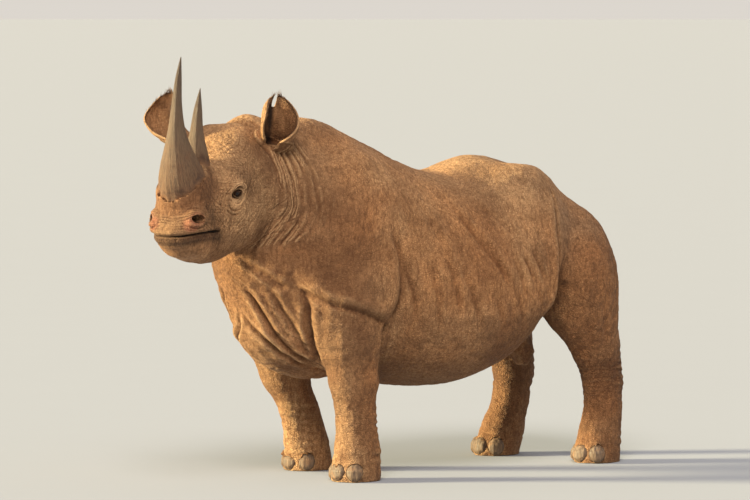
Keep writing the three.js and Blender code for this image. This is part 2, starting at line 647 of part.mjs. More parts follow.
const torsoSkin = skinOf(bodyField, steps(-1350, 1100, 73), steps(-640, 640, 70), steps(250, 1750, 68));
let torso = solid(torsoSkin).subtract(beyond(...NECK_CUT, -GAP / 2)).subtract(tail(GAP));
for (const leg of LEGS) {
  torso = torso.subtract(legBlock(leg, GAP));
  const [x, y] = leg.joints[3];
  const across = leg.s > 0 ? steps(90, 500, 43) : steps(-500, -90, 43);
  const skin = solid(skinOf(bodyField, steps(x - 308, x + 300, 43), across, steps(-70, 780, 37, 88)));
  let made = skin.intersect(legBlock(leg, 0)).intersect(floor);
  toesOf(leg).forEach((toe, n) => {
    made = made.subtract(nail(toe, GAP));
    add(`nail_${leg.name}_${n + 1}`, "nail", nail(toe, 0));
  });
  add(leg.name, "hide", made);
}
add("torso", "hide", torso);
add("tail", "hide", bristles().reduce((a, b) => a.add(b), tail(0)));

// The frame's origin is the middle of the bounding box, on the floor.
const middle = new THREE.Box3().setFromObject(root).getCenter(V(0, 0, 0));
for (const { geometry } of root.children) geometry.translate(-middle.x, -middle.y, 0);

export default root;
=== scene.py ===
"""A black rhinoceros as a life-size museum model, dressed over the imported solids.

One skin replaces every node of flesh. It starts as a remesh of those solids, takes two finer ears, and
is then carved with lids, nostrils, lips, folds and wrinkles. Horns, eyes and toenails are pieces of their
own, and the fringes of the ears, the lashes and the brush of the tail are solid tufts.
Sizes are millimetres unless they end in _M. The trunk's frame is +X forward, +Y left and +Z up.
"""
import math

import bmesh
import bpy
import numpy as np
from mathutils import Matrix, Vector
from mathutils.bvhtree import BVHTree


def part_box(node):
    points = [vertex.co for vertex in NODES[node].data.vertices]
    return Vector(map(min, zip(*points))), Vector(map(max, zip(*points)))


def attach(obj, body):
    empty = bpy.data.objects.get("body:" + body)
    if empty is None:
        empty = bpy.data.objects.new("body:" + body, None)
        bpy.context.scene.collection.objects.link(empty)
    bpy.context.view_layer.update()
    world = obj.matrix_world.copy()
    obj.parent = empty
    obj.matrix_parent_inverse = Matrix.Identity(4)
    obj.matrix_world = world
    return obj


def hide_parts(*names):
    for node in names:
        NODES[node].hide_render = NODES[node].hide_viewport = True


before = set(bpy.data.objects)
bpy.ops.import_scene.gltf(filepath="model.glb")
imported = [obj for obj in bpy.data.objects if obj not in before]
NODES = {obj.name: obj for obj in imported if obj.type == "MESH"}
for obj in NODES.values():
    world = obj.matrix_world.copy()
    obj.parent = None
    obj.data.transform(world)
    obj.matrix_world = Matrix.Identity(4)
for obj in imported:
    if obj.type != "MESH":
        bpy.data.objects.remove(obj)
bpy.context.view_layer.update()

SIDES = (("left", 1), ("right", -1))
LEGS = [f"{end}leg_{side}" for end in ("fore", "hind") for side, _ in SIDES]

# ------------------------------------------------------------------ driving sizes
MM = 0.001
SCULPT_ORIGIN = (850, 80, 1385)  # middle of the back of the skull, in the trunk's frame
HEAD_PITCH = 23  # degrees the nose points below level
EYE = {"at": (268, 143, -8), "ahead": 38, "radius": 20}
BODY_VOXEL = 7
SWELL = 3.5  # how far the solids are swollen to close the cuts between them
EARS = {
    "left": {
        "foot": (-50, 184, 35), "tip": (-100, 22, 200), "open": (0.52, 0.79, 0.33), "stalk": (-80, 33),
        "twist": 1,
    },
    "right": {
        "foot": (48, -240, 88), "tip": (-72, -14, 205), "open": (0.86, -0.36, 0.3), "stalk": (-65, 115),
        "twist": -1,
    },
}
EAR_LENGTH = 240
HORNS = {
    "horn_front": {
        "root": (452, 0, 78), "lean": -4, "bend": 40, "length": 610, "base": (87, 118),
        "flare": [(0, 1.04), (0.14, 1), (0.25, 0.83), (0.36, 0.61), (0.5, 0.39), (0.66, 0.25),
                  (0.88, 0.13), (1, 0.02)],
    },
    "horn_rear": {
        "root": (320, 0, 59), "lean": 12, "bend": 39, "length": 410, "base": (62, 68),
        "flare": [(0, 1), (0.15, 0.92), (0.32, 0.79), (0.55, 0.47), (0.82, 0.25), (1, 0.02)],
    },
}
MOUTH = [(700, -22), (660, -30), (625, -39), (589, -47), (523, -70), (465, -95), (425, -112)]
MOUTH_CORNER = 425


# ------------------------------------------------------------------ the two frames
def middle(node):
    low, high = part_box(node)
    return (Vector(low) + Vector(high)) / 2


# The eyes fix the head: the line between them runs across it, and their middle is a named place in it.
_across = middle("eye_left") - middle("eye_right")
HEAD = (
    Matrix.Rotation(math.atan2(-_across.x, _across.y), 4, "Z")
    @ Matrix.Rotation(math.radians(HEAD_PITCH), 4, "Y")
)
_between = Vector((EYE["at"][0], 0, EYE["at"][2])) * MM
HEAD.translation = (middle("eye_left") + middle("eye_right")) / 2 - HEAD.to_3x3() @ _between
ORIGIN_M = HEAD.translation - Vector(SCULPT_ORIGIN) * MM
HEAD_TURN = np.array(HEAD.to_3x3())


def in_trunk(world):
    """World metres to the trunk's millimetres."""
    return (world - np.array(ORIGIN_M)) / MM


def in_head(world):
    """World metres to the head's millimetres."""
    return (world - np.array(HEAD.translation)) @ HEAD_TURN / MM


def from_head(points):
    """The head's millimetres to world metres."""
    return points * MM @ HEAD_TURN.T + np.array(HEAD.translation)


# ------------------------------------------------------------------ curves and noise
def ramp(low, high, x):
    """0 below low, 1 above high and smooth between them."""
    t = np.clip((x - low) / (high - low), 0, 1)
    return t * t * (3 - 2 * t)


def bump(x, at, width):
    return np.exp(-(((x - at) / width) ** 2))


def curve(points, x):
    """A smooth curve through (place, value) points, held level past its ends."""
    place, value = np.array(points, float).T
    slope = np.gradient(value, place)
    x = np.clip(x, place[0], place[-1])
    i = np.clip(np.searchsorted(place, x) - 1, 0, len(place) - 2)
    step = place[i + 1] - place[i]
    t = (x - place[i]) / step
    t2, t3 = t * t, t * t * t
    return (
        (2 * t3 - 3 * t2 + 1) * value[i] + (t3 - 2 * t2 + t) * step * slope[i]
        + (3 * t2 - 2 * t3) * value[i + 1] + (t3 - t2) * step * slope[i + 1]
    )


def noise(points, size, seed=0):
    """Smooth noise from -1 to 1 with lumps of about one size. size may have a value for each axis."""
    q = points / size + seed * 17.31
    cell = np.floor(q).astype(np.int64)
    f = q - cell
    f = f * f * f * (f * (6 * f - 15) + 10)
    total = 0
    for dx in (0, 1):
        for dy in (0, 1):
            for dz in (0, 1):
                n = (cell[:, 0] + dx) * 374761393 + (cell[:, 1] + dy) * 668265263
                n = n + (cell[:, 2] + dz) * 1442695041 + seed * 974711
                n = ((n ^ (n >> 13)) * 1274126177) & 0x7FFFFFFF
                n = n ^ (n >> 16)
                weight = 1
                for axis, d in enumerate((dx, dy, dz)):
                    weight = weight * (f[:, axis] if d else 1 - f[:, axis])
                total = total + weight * ((n & 0xFFFF) / 32767.5 - 1)
    return total


def creases(across, along, spacing, length, seed):
    """Thin branching creases that run along one way: 1 in the bottom of each and 0 between them."""
    q = np.stack([across / spacing, along / length, np.full_like(across, 0.37)], 1)
    q[:, 0] += 0.35 * noise(np.stack([across, along, across * 0], 1), 4 * spacing, seed + 5)
    return np.exp(-((noise(q, 1.0, seed) / 0.16) ** 2))


def beside(u, v, path):
    """How far points are from a path in a plane, positive to its left, and how far along it they are."""
    path = np.array(path, float)
    best = np.full(len(u), 1e9)
    side = np.zeros(len(u))
    along = np.zeros(len(u))
    steps = np.diff(path, axis=0)
    lengths = np.hypot(*steps.T)
    done = np.concatenate([[0], np.cumsum(lengths)]) / lengths.sum()
    for (u0, v0), (du, dv), length, t0, t1 in zip(path, steps, lengths, done, done[1:]):
        t = np.clip(((u - u0) * du + (v - v0) * dv) / length**2, 0, 1)
        gap = np.hypot(u - u0 - t * du, v - v0 - t * dv)
        closer = gap < best
        best = np.where(closer, gap, best)
        side = np.where(closer, np.sign(du * (v - v0) - dv * (u - u0)), side)
        along = np.where(closer, t0 + t * (t1 - t0), along)
    return best * side, along


def fold(u, v, path, depth, width, lip, ends):
    """A groove along a path, with a rounded lip that hangs over it from its right. Both ends fade out."""
    s, t = beside(u, v, path)
    fade = ramp(0, ends, t) * ramp(1, 1 - ends, t)
    wide = np.where(s < 0, 0.7 * width, 1.25 * width)
    return fade * (lip * bump(s, -2.4 * width, 1.9 * width) - depth * bump(s, 0, wide))


def lines(across, spacing, sharp=3):
    """Even creases across a coordinate: 1 in the bottom of each and 0 between them."""
    return (0.5 + 0.5 * np.cos(2 * np.pi * across / spacing)) ** sharp


# ------------------------------------------------------------------ meshes as arrays
def new_object(name, points, faces):
    """An object from world points in metres and an array of faces with equal numbers of corners."""
    faces = np.asarray(faces, np.int32)
    mesh = bpy.data.meshes.new(name)
    mesh.vertices.add(len(points))
    mesh.vertices.foreach_set("co", np.asarray(points, np.float32).ravel())
    mesh.loops.add(faces.size)
    mesh.loops.foreach_set("vertex_index", faces.ravel())
    mesh.polygons.add(len(faces))
    mesh.polygons.foreach_set("loop_start", np.arange(0, faces.size, faces.shape[1], dtype=np.int32))
    mesh.update(calc_edges=True)
    mesh.validate()
    obj = bpy.data.objects.new(name, mesh)
    bpy.context.scene.collection.objects.link(obj)
    return obj


def points_of(mesh):
    flat = np.empty(len(mesh.vertices) * 3, np.float32)
    mesh.vertices.foreach_get("co", flat)
    return flat.reshape(-1, 3).astype(float)


def set_points(mesh, points):
    mesh.vertices.foreach_set("co", points.astype(np.float32).ravel())
    mesh.update()


def normals_of(mesh):
    flat = np.empty(len(mesh.vertices) * 3, np.float32)
    mesh.vertex_normals.foreach_get("vector", flat)
    return flat.reshape(-1, 3).astype(float)


def edges_of(mesh):
    flat = np.empty(len(mesh.edges) * 2, np.int32)
    mesh.edges.foreach_get("vertices", flat)
    return flat.reshape(-1, 2)


def smooth_all(mesh):
    mesh.polygons.foreach_set("use_smooth", np.ones(len(mesh.polygons), bool))


def tube_faces(rows, sides):
    """Triangles of a closed tube of rings, whose first and last rings meet the two points after them."""
    index = np.arange(rows * sides).reshape(rows, sides)
    beyond = np.roll(index, -1, axis=1)
    walls = np.stack([index[:-1], index[1:], beyond[1:], beyond[:-1]], -1).reshape(-1, 4)
    first, last = rows * sides, rows * sides + 1
    caps = [(a, b, first) for a, b in zip(index[0], beyond[0])]
    caps += [(b, a, last) for a, b in zip(index[-1], beyond[-1])]
    return np.concatenate([walls[:, [0, 1, 2]], walls[:, [0, 2, 3]], np.array(caps)])


class Net:
    """A mesh's edges, to average values over each vertex's neighbours."""

    def __init__(self, mesh):
        self.a, self.b = edges_of(mesh).T
        self.n = len(mesh.vertices)
        ends = np.bincount(self.a, minlength=self.n) + np.bincount(self.b, minlength=self.n)
        self.degree = np.maximum(ends, 1)

    def mean(self, values):
        columns = [
            np.bincount(self.a, column[self.b], self.n) + np.bincount(self.b, column[self.a], self.n)
            for column in values.T
        ]
        return np.stack(columns, 1) / self.degree[:, None]

    def relax(self, points, rounds, weight=1.0, keep_size=True):
        """Smooths points. With keep_size every second step pushes back out, so that limbs stay thick."""
        weight = np.broadcast_to(np.asarray(weight, float), (self.n,))[:, None]
        for n in range(rounds):
            pull = 0.6 if not keep_size or n % 2 == 0 else -0.62
            points = points + weight * pull * (self.mean(points) - points)
        return points


def welded(obj):
    """An object's points and triangles with doubled points joined."""
    mesh = obj.data
    mesh.calc_loop_triangles()
    corners = np.empty(len(mesh.loop_triangles) * 3, np.int32)
    mesh.loop_triangles.foreach_get("vertices", corners)
    points = points_of(mesh)
    keys = np.round(points / 1e-5).astype(np.int64)
    _, first, back = np.unique(keys, axis=0, return_index=True, return_inverse=True)
    faces = back.reshape(-1)[corners].reshape(-1, 3)
    whole = (faces[:, 0] != faces[:, 1]) & (faces[:, 1] != faces[:, 2]) & (faces[:, 2] != faces[:, 0])
    return points[first], faces[whole]


def swollen(points, faces, by):
    """Points pushed outwards along their normals."""
    a, b, c = (points[faces[:, i]] for i in range(3))
    flat = np.cross(b - a, c - a)
    flat /= np.maximum(np.linalg.norm(flat, axis=1), 1e-12)[:, None]
    normal = np.zeros_like(points)
    for i in range(3):
        np.add.at(normal, faces[:, i], flat)
    return points + by * normal / np.maximum(np.linalg.norm(normal, axis=1), 1e-9)[:, None]


def root_of(node, at, normal):
    """The part of a node behind a plane, closed again. at and normal are in the head's frame."""
    points, faces = welded(NODES[node])
    bm = bmesh.new()
    made = new_object("root", points, faces)
    bm.from_mesh(made.data)
    cut = bmesh.ops.bisect_plane(
        bm, geom=bm.verts[:] + bm.edges[:] + bm.faces[:], plane_co=HEAD @ (Vector(at) * MM),
        plane_no=HEAD.to_3x3() @ Vector(normal), clear_outer=True,
    )
    rim = [e for e in cut["geom_cut"] if isinstance(e, bmesh.types.BMEdge)]
    bmesh.ops.holes_fill(bm, edges=rim, sides=0)
    bmesh.ops.triangulate(bm, faces=bm.faces[:])
    bm.to_mesh(made.data)
    bm.free()
    result = welded(made)
    bpy.data.objects.remove(made)
    return result


def applied(obj, name, kind, **settings):
    """Adds a modifier and puts its result in the object's mesh."""
    modifier = obj.modifiers.new(name, kind)
    for key, value in settings.items():
        setattr(modifier, key, value)
    bpy.context.view_layer.update()
    made = bpy.data.meshes.new_from_object(obj.evaluated_get(bpy.context.evaluated_depsgraph_get()))
    obj.modifiers.clear()
    old, obj.data = obj.data, made
    bpy.data.meshes.remove(old)


def only_largest(obj):
    """Drops every loose piece but the largest."""
    bm = bmesh.new()
    bm.from_mesh(obj.data)
    bm.verts.ensure_lookup_table()
    island = [-1] * len(bm.verts)
    sizes = []
    for start in bm.verts:
        if island[start.index] >= 0:
            continue
        mark = len(sizes)
        stack, count = [start], 0
        island[start.index] = mark
        while stack:
            vertex = stack.pop()
            count += 1
            for edge in vertex.link_edges:
                other = edge.other_vert(vertex)
                if island[other.index] < 0:
                    island[other.index] = mark
                    stack.append(other)
        sizes.append(count)
    best = sizes.index(max(sizes))
    bmesh.ops.delete(bm, geom=[v for v in bm.verts if island[v.index] != best], context="VERTS")
    bm.to_mesh(obj.data)
    bm.free()


def turned_out(obj):
    """Turns every face outwards."""
    bm = bmesh.new()
    bm.from_mesh(obj.data)
    bmesh.ops.recalc_face_normals(bm, faces=bm.faces[:])
    bm.to_mesh(obj.data)
    bm.free()


def refine(mesh, wanted):
    """Halves every edge between wanted vertices."""
    bm = bmesh.new()
    bm.from_mesh(mesh)
    chosen = [e for e in bm.edges if wanted[e.verts[0].index] and wanted[e.verts[1].index]]
    bmesh.ops.subdivide_edges(bm, edges=chosen, cuts=1, use_grid_fill=True)
    bmesh.ops.triangulate(bm, faces=[f for f in bm.faces if len(f.verts) > 4])
    bm.to_mesh(mesh)
    bm.free()


# ------------------------------------------------------------------ the base of the skin
def flesh_base():
    """One closed surface round all the flesh, remeshed evenly and free of the solids' facets."""
    parts = [welded(NODES[name]) for name in ("head", "neck", "torso", "tail", *LEGS)]
    parts += [welded(NODES[f"eye_{side}"]) for side, _ in SIDES]
    parts.append(root_of("horn_front", (452, 0, 84), (0.21, 0, 0.98)))
    parts.append(root_of("horn_rear", (320, 0, 104), (0, 0, 1)))
    for side, _ in SIDES:
        ear = EARS[side]
        up = Vector(ear["tip"]).normalized()
        parts.append(root_of(f"ear_{side}", Vector(ear["foot"]) + 30 * up, up))
    points, faces, count = [], [], 0
    for part, triangles in parts:
        points.append(swollen(part, triangles, SWELL * MM))
        faces.append(triangles + count)
        count += len(part)
    skin = new_object("rhinoceros_skin", np.concatenate(points), np.concatenate(faces))
    applied(skin, "even", "REMESH", mode="VOXEL", voxel_size=BODY_VOXEL * MM, adaptivity=0)
    only_largest(skin)
    net = Net(skin.data)
    world = points_of(skin.data)
    trunk, head = in_trunk(world), in_head(world)
    on_head = ramp(-120, 40, head[:, 0]) * ramp(-430, -360, head[:, 2])
    feet = 1 - ramp(60, 200, trunk[:, 2])
    tail = ramp(-1120, -1150, trunk[:, 0])
    world = net.relax(world, 40, (1 - on_head) * (1 - 0.85 * feet) * (1 - 0.8 * tail))
    world = net.relax(world, 8)
    set_points(skin.data, world)
    world = world - SWELL * MM * normals_of(skin.data)
    world[:, 2] = np.maximum(world[:, 2], 0)
    set_points(skin.data, world)
    return skin


# ------------------------------------------------------------------ ears
EAR_RADIUS = [(-0.1, 33), (0, 36), (0.12, 46), (0.25, 58), (0.37, 67), (0.5, 73), (0.6, 73), (0.7, 70),
              (0.8, 62), (0.9, 47), (1, 26)]
EAR_ARC = [(0, 172), (0.12, 160), (0.3, 130), (0.65, 108), (1, 84)]  # degrees each side
EAR_TWIST = [(0, 50), (0.15, 48), (0.35, 26), (0.6, 6), (1, 0)]  # degrees the opening turns
EAR_LEAN = [(0, 0), (0.5, 6), (1, -10)]
EAR_SWING = [(-0.1, 1.27), (0, 1), (0.12, 0.67), (0.3, 0.22), (0.5, 0), (1, 0)]
EAR_GRID = (84, 96)  # steps up an ear and round it
NOTCH = {"at": -0.05, "half": 0.2, "deep": 0.2}  # the tear in the rim of the left ear


def ear_frame(side):
    """The turn and the foot of an ear in the head's frame: its axis is z and it opens towards x."""
    up = np.array(EARS[side]["tip"], float)
    up /= np.linalg.norm(up)
    front = np.array(EARS[side]["open"])
    front = front - up * (up @ front)
    front /= np.linalg.norm(front)
    return np.stack([front, np.cross(up, front), up], 1), np.array(EARS[side]["foot"], float)


def ear_axis(side, rise):
    """The middle of an ear's tube at a height, in its own frame."""
    back, aside = EARS[side]["stalk"]
    swing = curve(EAR_SWING, rise)
    return 0.5 * curve(EAR_RADIUS, rise) + curve(EAR_LEAN, rise) + back * swing, aside * swing


def ear_sheet(side, t, v):
    """The outer face of an ear at heights t and places v from one rim (-1) to the other (1)."""
    sign = EARS[side]["twist"]
    ragged = noise(np.stack([v * 9, v * 0, v * 0], -1).reshape(-1, 3), 1.0, 92).reshape(v.shape)
    top = 1 - 0.07 * np.abs(v) ** 3 + 0.012 * ragged
    if side == "left":
        torn = NOTCH["deep"] * ramp(1, 0.3, np.abs(v - NOTCH["at"]) / NOTCH["half"])
        top = top - torn - 0.03 * ramp(0, -0.5, v)
    rise = t - t**3 * (1 - top)
    radius = curve(EAR_RADIUS, rise)
    angle = np.radians(curve(EAR_ARC, rise) * v + sign * curve(EAR_TWIST, rise))
    rim = ramp(0.75, 1, np.abs(v)) * ramp(0.12, 0.35, rise)
    bulb = bump(rise, 0.13, 0.1) * ramp(-0.3, 0.5, sign * v)
    wave = 0.03 * np.sin(5 * angle + 9 * rise) * ramp(0.2, 0.5, rise)
    radius = radius * (1 + 0.03 * rim + 0.42 * bulb + wave)
    middle_x, middle_y = ear_axis(side, rise)
    x = middle_x - radius * np.cos(angle) - 8 * rim
    return np.stack([x, middle_y + radius * np.sin(angle), EAR_LENGTH * rise], -1)


def make_ear(side):
    """A closed cup with thin rims, in world metres."""
    rows, columns = EAR_GRID
    t, v = np.meshgrid(np.linspace(0, 1, rows + 1), np.linspace(-1, 1, columns + 1), indexing="ij")
    outer = ear_sheet(side, t, v)
    normal = np.cross(np.gradient(outer, axis=1), np.gradient(outer, axis=0))
    normal /= np.maximum(np.linalg.norm(normal, axis=2), 1e-9)[..., None]
    thick = 5 + 6 * (1 - t) + 2.5 * (1 - np.abs(v))
    inner = outer - normal * thick[..., None]
    ridge = 1.8 * np.cos(11 * np.pi * v + 2 * t) * ramp(0.15, 0.4, t) * ramp(1, 0.75, t)
    inner += normal * ridge[..., None]
    turn, foot = ear_frame(side)
    points = np.concatenate([outer.reshape(-1, 3), inner.reshape(-1, 3)]) @ turn.T + foot
    size = (rows + 1) * (columns + 1)
    index = np.arange(size).reshape(rows + 1, columns + 1)

    def strip(line):
        a, b = line[:-1], line[1:]
        return np.stack([a, b, b + size, a + size], 1)

    a, b, c, d = (q.ravel() for q in (index[:-1, :-1], index[:-1, 1:], index[1:, 1:], index[1:, :-1]))
    faces = np.concatenate([
        np.stack([a, d, c, b], 1), np.stack([a, b, c, d], 1) + size,
        strip(index[0]), strip(index[::-1, 0]), strip(index[-1, ::-1]), strip(index[:, -1]),
    ])
    return new_object(f"ear_{side}_sheet", from_head(points), faces)


def in_ear(head, side):
    """Points of the head's frame in an ear's own frame."""
    turn, foot = ear_frame(side)
    return (head - foot) @ turn


def join_ears(skin):
    """Unites the ears with the skin and rounds the corner where they meet it."""
    for side, _ in SIDES:
        ear = make_ear(side)
        turned_out(ear)
        applied(skin, "join", "BOOLEAN", operation="UNION", solver="MANIFOLD", object=ear)
        bpy.data.objects.remove(ear)
    only_largest(skin)
    net = Net(skin.data)
    world = points_of(skin.data)
    near = np.zeros(len(world))
    for side, _ in SIDES:
        own = in_ear(in_head(world), side)
        rise = own[:, 2]
        x, y = ear_axis(side, rise / EAR_LENGTH)
        off = np.hypot(own[:, 0] - x, own[:, 1] - y)
        near = np.maximum(near, ramp(-50, -15, rise) * ramp(50, 26, rise) * ramp(130, 90, off))
    set_points(skin.data, net.relax(world, 14, near, keep_size=False))


# ------------------------------------------------------------------ carving: body
FOLDS = {  # paths in the side view, (x, z), with depth, width, lip and the share of each end that fades
    "sleeve": ([(650, 856), (594, 826), (550, 795), (493, 771), (410, 748), (330, 720), (285, 704),
                (240, 690)], 15, 14, 15, 0.14),
    "shoulder": ([(240, 690), (205, 742), (190, 790), (183, 854), (186, 971), (206, 1040), (230, 1130)],
                 15, 16, 13, 0.22),
    "flank": ([(-668, 660), (-680, 740), (-688, 806), (-684, 926), (-700, 1046), (-720, 1169), (-735, 1270)],
              30, 14, 20, 0.14),
    "elbow": ([(262, 545), (258, 610), (236, 690)], 18, 13, 6, 0.14),
    "rump": ([(-1010, 560), (-975, 660), (-960, 760)], 6, 16, 4, 0.14),
}
RIBS = [  # grooves between the ribs, as paths in the side view with depth and width
    ([(60, 1235), (33, 1196), (-5, 1092), (-40, 997), (-62, 930)], 7, 15),
    ([(50, 975), (40, 937), (22, 870), (5, 807), (-12, 664), (-14, 610)], 10, 15),
    ([(-112, 1240), (-150, 1190), (-214, 1073), (-274, 988), (-336, 904), (-376, 819), (-394, 760)], 12, 17),
    ([(-90, 950), (-113, 911), (-166, 828), (-213, 705), (-224, 640)], 11, 16),
    ([(-236, 1100), (-267, 1041), (-323, 942), (-376, 856), (-394, 816)], 9, 14),
    ([(-390, 985), (-414, 935), (-459, 817), (-472, 770)], 11, 14),
    ([(-456, 990), (-480, 946), (-534, 849), (-552, 806)], 10, 13),
    ([(-510, 1010), (-532, 967), (-584, 870), (-602, 826)], 9, 13),
    ([(168, 985), (158, 920), (120, 802), (108, 730), (110, 640)], 12, 15),
    ([(-12, 1030), (-33, 975), (-91, 831), (-110, 746), (-118, 680)], 13, 17),
    ([(-235, 1240), (-276, 1206), (-363, 1145), (-440, 1060), (-480, 1010)], 6, 14),
    ([(-420, 800), (-455, 720), (-480, 650)], 5, 15),
    ([(-290, 830), (-325, 740), (-345, 660)], 6, 16),
]
CORDS = [  # grooves of the brisket and round the forearm, on the left, as points, with depth, width and lip
    ([(776, -9, 754), (735, 42, 679), (672, 105, 603), (583, 134, 537), (463, 155, 482)], 14, 10, 9),
    ([(823, 87, 887), (758, 116, 785), (678, 135, 656), (569, 159, 551), (480, 188, 504)], 14, 11, 11),
    ([(732, 186, 876), (680, 201, 761), (596, 215, 644), (505, 199, 537)], 8, 11, 6),
    ([(640, 300, 850), (592, 288, 770), (562, 268, 690), (520, 240, 600), (466, 212, 490)], 16, 15, 8),
    ([(800, 60, 1010), (770, 120, 940), (720, 190, 890), (650, 250, 850)], 6, 11, 5),
]


def laid(points, cord):
    """A path with three steps for each of its own, laid onto the nearest points of the skin."""
    cord = np.array(cord, float)
    steps = np.linspace(0, len(cord) - 1, 3 * len(cord) - 2)
    line = np.stack([np.interp(steps, np.arange(len(cord)), column) for column in cord.T], 1)
    return [points[np.argmin(((points - place) ** 2).sum(1))] for place in line]


def along_cord(points, cord):
    """How far points are from a path in space, and how far along it they are."""
    cord = np.array(cord, float)
    best, along = np.full(len(points), 1e9), np.zeros(len(points))
    for n, (start, end) in enumerate(zip(cord, cord[1:])):
        way = end - start
        t = np.clip((points - start) @ way / (way @ way), 0, 1)
        gap = np.linalg.norm(points - start - t[:, None] * way, axis=1)
        along = np.where(gap < best, (n + t) / (len(cord) - 1), along)
        best = np.minimum(best, gap)
    return best, along


def rib_relief(trunk, flank):
    """Slanting grooves between the ribs, and the fine creases behind them."""
    x, _, z = trunk.T
    lift = np.zeros(len(x))
    sway_x, sway_z = x + 7 * noise(trunk, 90, 9), z + 7 * noise(trunk, 90, 35)
    for path, depth, width in RIBS:
        s, t = beside(sway_x, sway_z, path)
        fade = ramp(0, 0.3, t) * ramp(1, 0.7, t)
        lift += fade * depth * (0.55 * bump(s, -2.0 * width, 1.4 * width) - bump(s, 0, width))
    lean = x - 0.43 * z + 14 * noise(trunk, 160, 12)
    barrel = ramp(-660, -580, x) * ramp(190, 60, x) * ramp(470, 620, z) * ramp(1200, 980, z)
    patchy = 0.6 + 0.5 * noise(trunk, 190, 10)
    lift += 1.6 * barrel * patchy * np.cos(lean * 2 * np.pi / 66)
    lift -= 3.0 * barrel * patchy * creases(lean, z, 36, 300, 11)
    rear = ramp(-330, -470, x) * ramp(-676, -640, x) * ramp(690, 800, z) * ramp(1180, 1060, z)
    lift -= 3.6 * rear * creases(lean, z, 19, 150, 13)
    high = ramp(250, 100, x) * ramp(-560, -460, x) * ramp(1030, 1120, z) * ramp(1330, 1240, z)
    lift -= 2.4 * high * creases(lean + 0.3 * z, z, 30, 260, 14)
    return lift * flank


def body_relief(trunk):
    """How far each point of the trunk and limbs is lifted by folds, cords and wrinkles."""
    x, y, z = trunk.T
    side_y = np.abs(y)
    flank = ramp(110, 190, side_y)
    lift = 3.2 * noise(trunk, 260, 1) + 2.0 * noise(trunk, 95, 2) + 1.1 * noise(trunk, 42, 3)
    lift += 0.7 * noise(trunk, 22, 5)
    sway_x, sway_z = x + 6 * noise(trunk, 120, 4), z + 6 * noise(trunk, 120, 6)
    for path, *form in FOLDS.values():
        lift += flank * fold(sway_x, sway_z, path, *form)
    # a pit behind the elbow, and the mass of the shoulder and the forearm about it
    lift -= 15 * flank * bump(np.hypot(x - 240, z - 668), 0, 32)
    lift -= 20 * flank * bump(x, -745, 48) * ramp(620, 700, z) * ramp(960, 800, z)
    lift += 13 * flank * bump(x, 400, 140) * bump(z, 860, 75)
    lift += 9 * flank * bump(x, 420, 110) * bump(z, 640, 90)
    lift += rib_relief(trunk, flank)
    patch = 0.55 + 0.6 * noise(trunk, 150, 8)
    lift -= 1.9 * np.clip(patch, 0, 1.2) * creases(x + 0.5 * z, z + y, 34, 130, 29)
    lift -= 1.7 * np.clip(1.1 - patch, 0, 1.2) * creases(z - 0.35 * x + 0.4 * y, x, 31, 150, 30)

    # cords of the brisket, on both sides, a little unlike
    drift = np.stack([noise(trunk, 150, 26), noise(trunk, 150, 27), noise(trunk, 150, 28)], 1)
    for mirror, sway in ((1, 8), (-1, -14)):
        points = (trunk + sway * drift) * (1, mirror, 1)
        chest = points[(x > 350) & (z < 1100)]
        for cord, depth, width, lip in CORDS:
            gap, t = along_cord(points, laid(chest, cord))
            fade = ramp(0, 0.3, t) * ramp(1, 0.86, t)
            lift += fade * (lip * bump(gap, 2.7 * width, 1.5 * width) - depth * bump(gap, 0, width))
    front = ramp(380, 560, x) * ramp(1050, 900, z) * ramp(420, 520, z)
    lift -= 2.6 * front * creases(z + 1.1 * side_y, x, 26, 170, 15)
    arm = ramp(380, 480, x) * ramp(800, 740, z) * ramp(640, 700, z) * flank
    lift -= 2.6 * arm * creases(x - 0.4 * z, z, 18, 80, 16)

    # rings round the joints of the legs and over the hoofs
    limb = ramp(640, 500, z) * ramp(30, 70, z) * np.maximum(ramp(150, 220, x), ramp(-800, -880, x))
    fore = (x > 0) & (x < 520)
    joint = np.where(fore, bump(z, 255, 90) + bump(z, 90, 50), bump(z, 395, 110) + bump(z, 95, 55))
    lift -= (0.9 + 3.0 * joint) * limb * creases(z + 9 * noise(trunk, 60, 17), x + y, 21, 150, 18)
    behind = np.where(fore, ramp(330, 240, x), ramp(-1060, -1130, x))
    lift -= 4 * limb * behind * joint * (0.5 + 0.5 * np.cos(z * 2 * np.pi / 34 + 2 * noise(trunk, 70, 19)))
    toes = ramp(150, 110, z) * ramp(20, 60, z)
    lift -= 1.6 * toes * creases(z, x - y, 16, 60, 20)

    # inner elbow, belly and the root of the tail
    under = ramp(560, 420, z) * ramp(300, 100, side_y) * (x < 420) * (x > -640)
    lift -= 2.0 * under * creases(x, y, 40, 160, 21)
    root = bump(x, -1080, 70) * bump(z, 1090, 120) * ramp(190, 120, side_y)
    lift -= 3 * root * creases(z, y, 26, 90, 22)
    tail = ramp(-1140, -1160, x) * ramp(560, 640, z)
    lift -= 1.8 * tail * creases(z, y, 16, 60, 23)
    # thigh: long hanging folds towards the buttock, finer ones towards the knee
    buttock = ramp(-860, -1000, x) * ramp(60, 140, side_y) * ramp(520, 640, z) * ramp(1080, 900, z)
    lift -= 3.6 * buttock * creases(x + 0.25 * z, z, 42, 300, 24)
    thigh = ramp(-760, -820, x) * ramp(520, 600, z) * ramp(1150, 950, z) * flank
    lift -= 1.8 * thigh * creases(z + 0.5 * x, x, 30, 160, 25)
    return lift


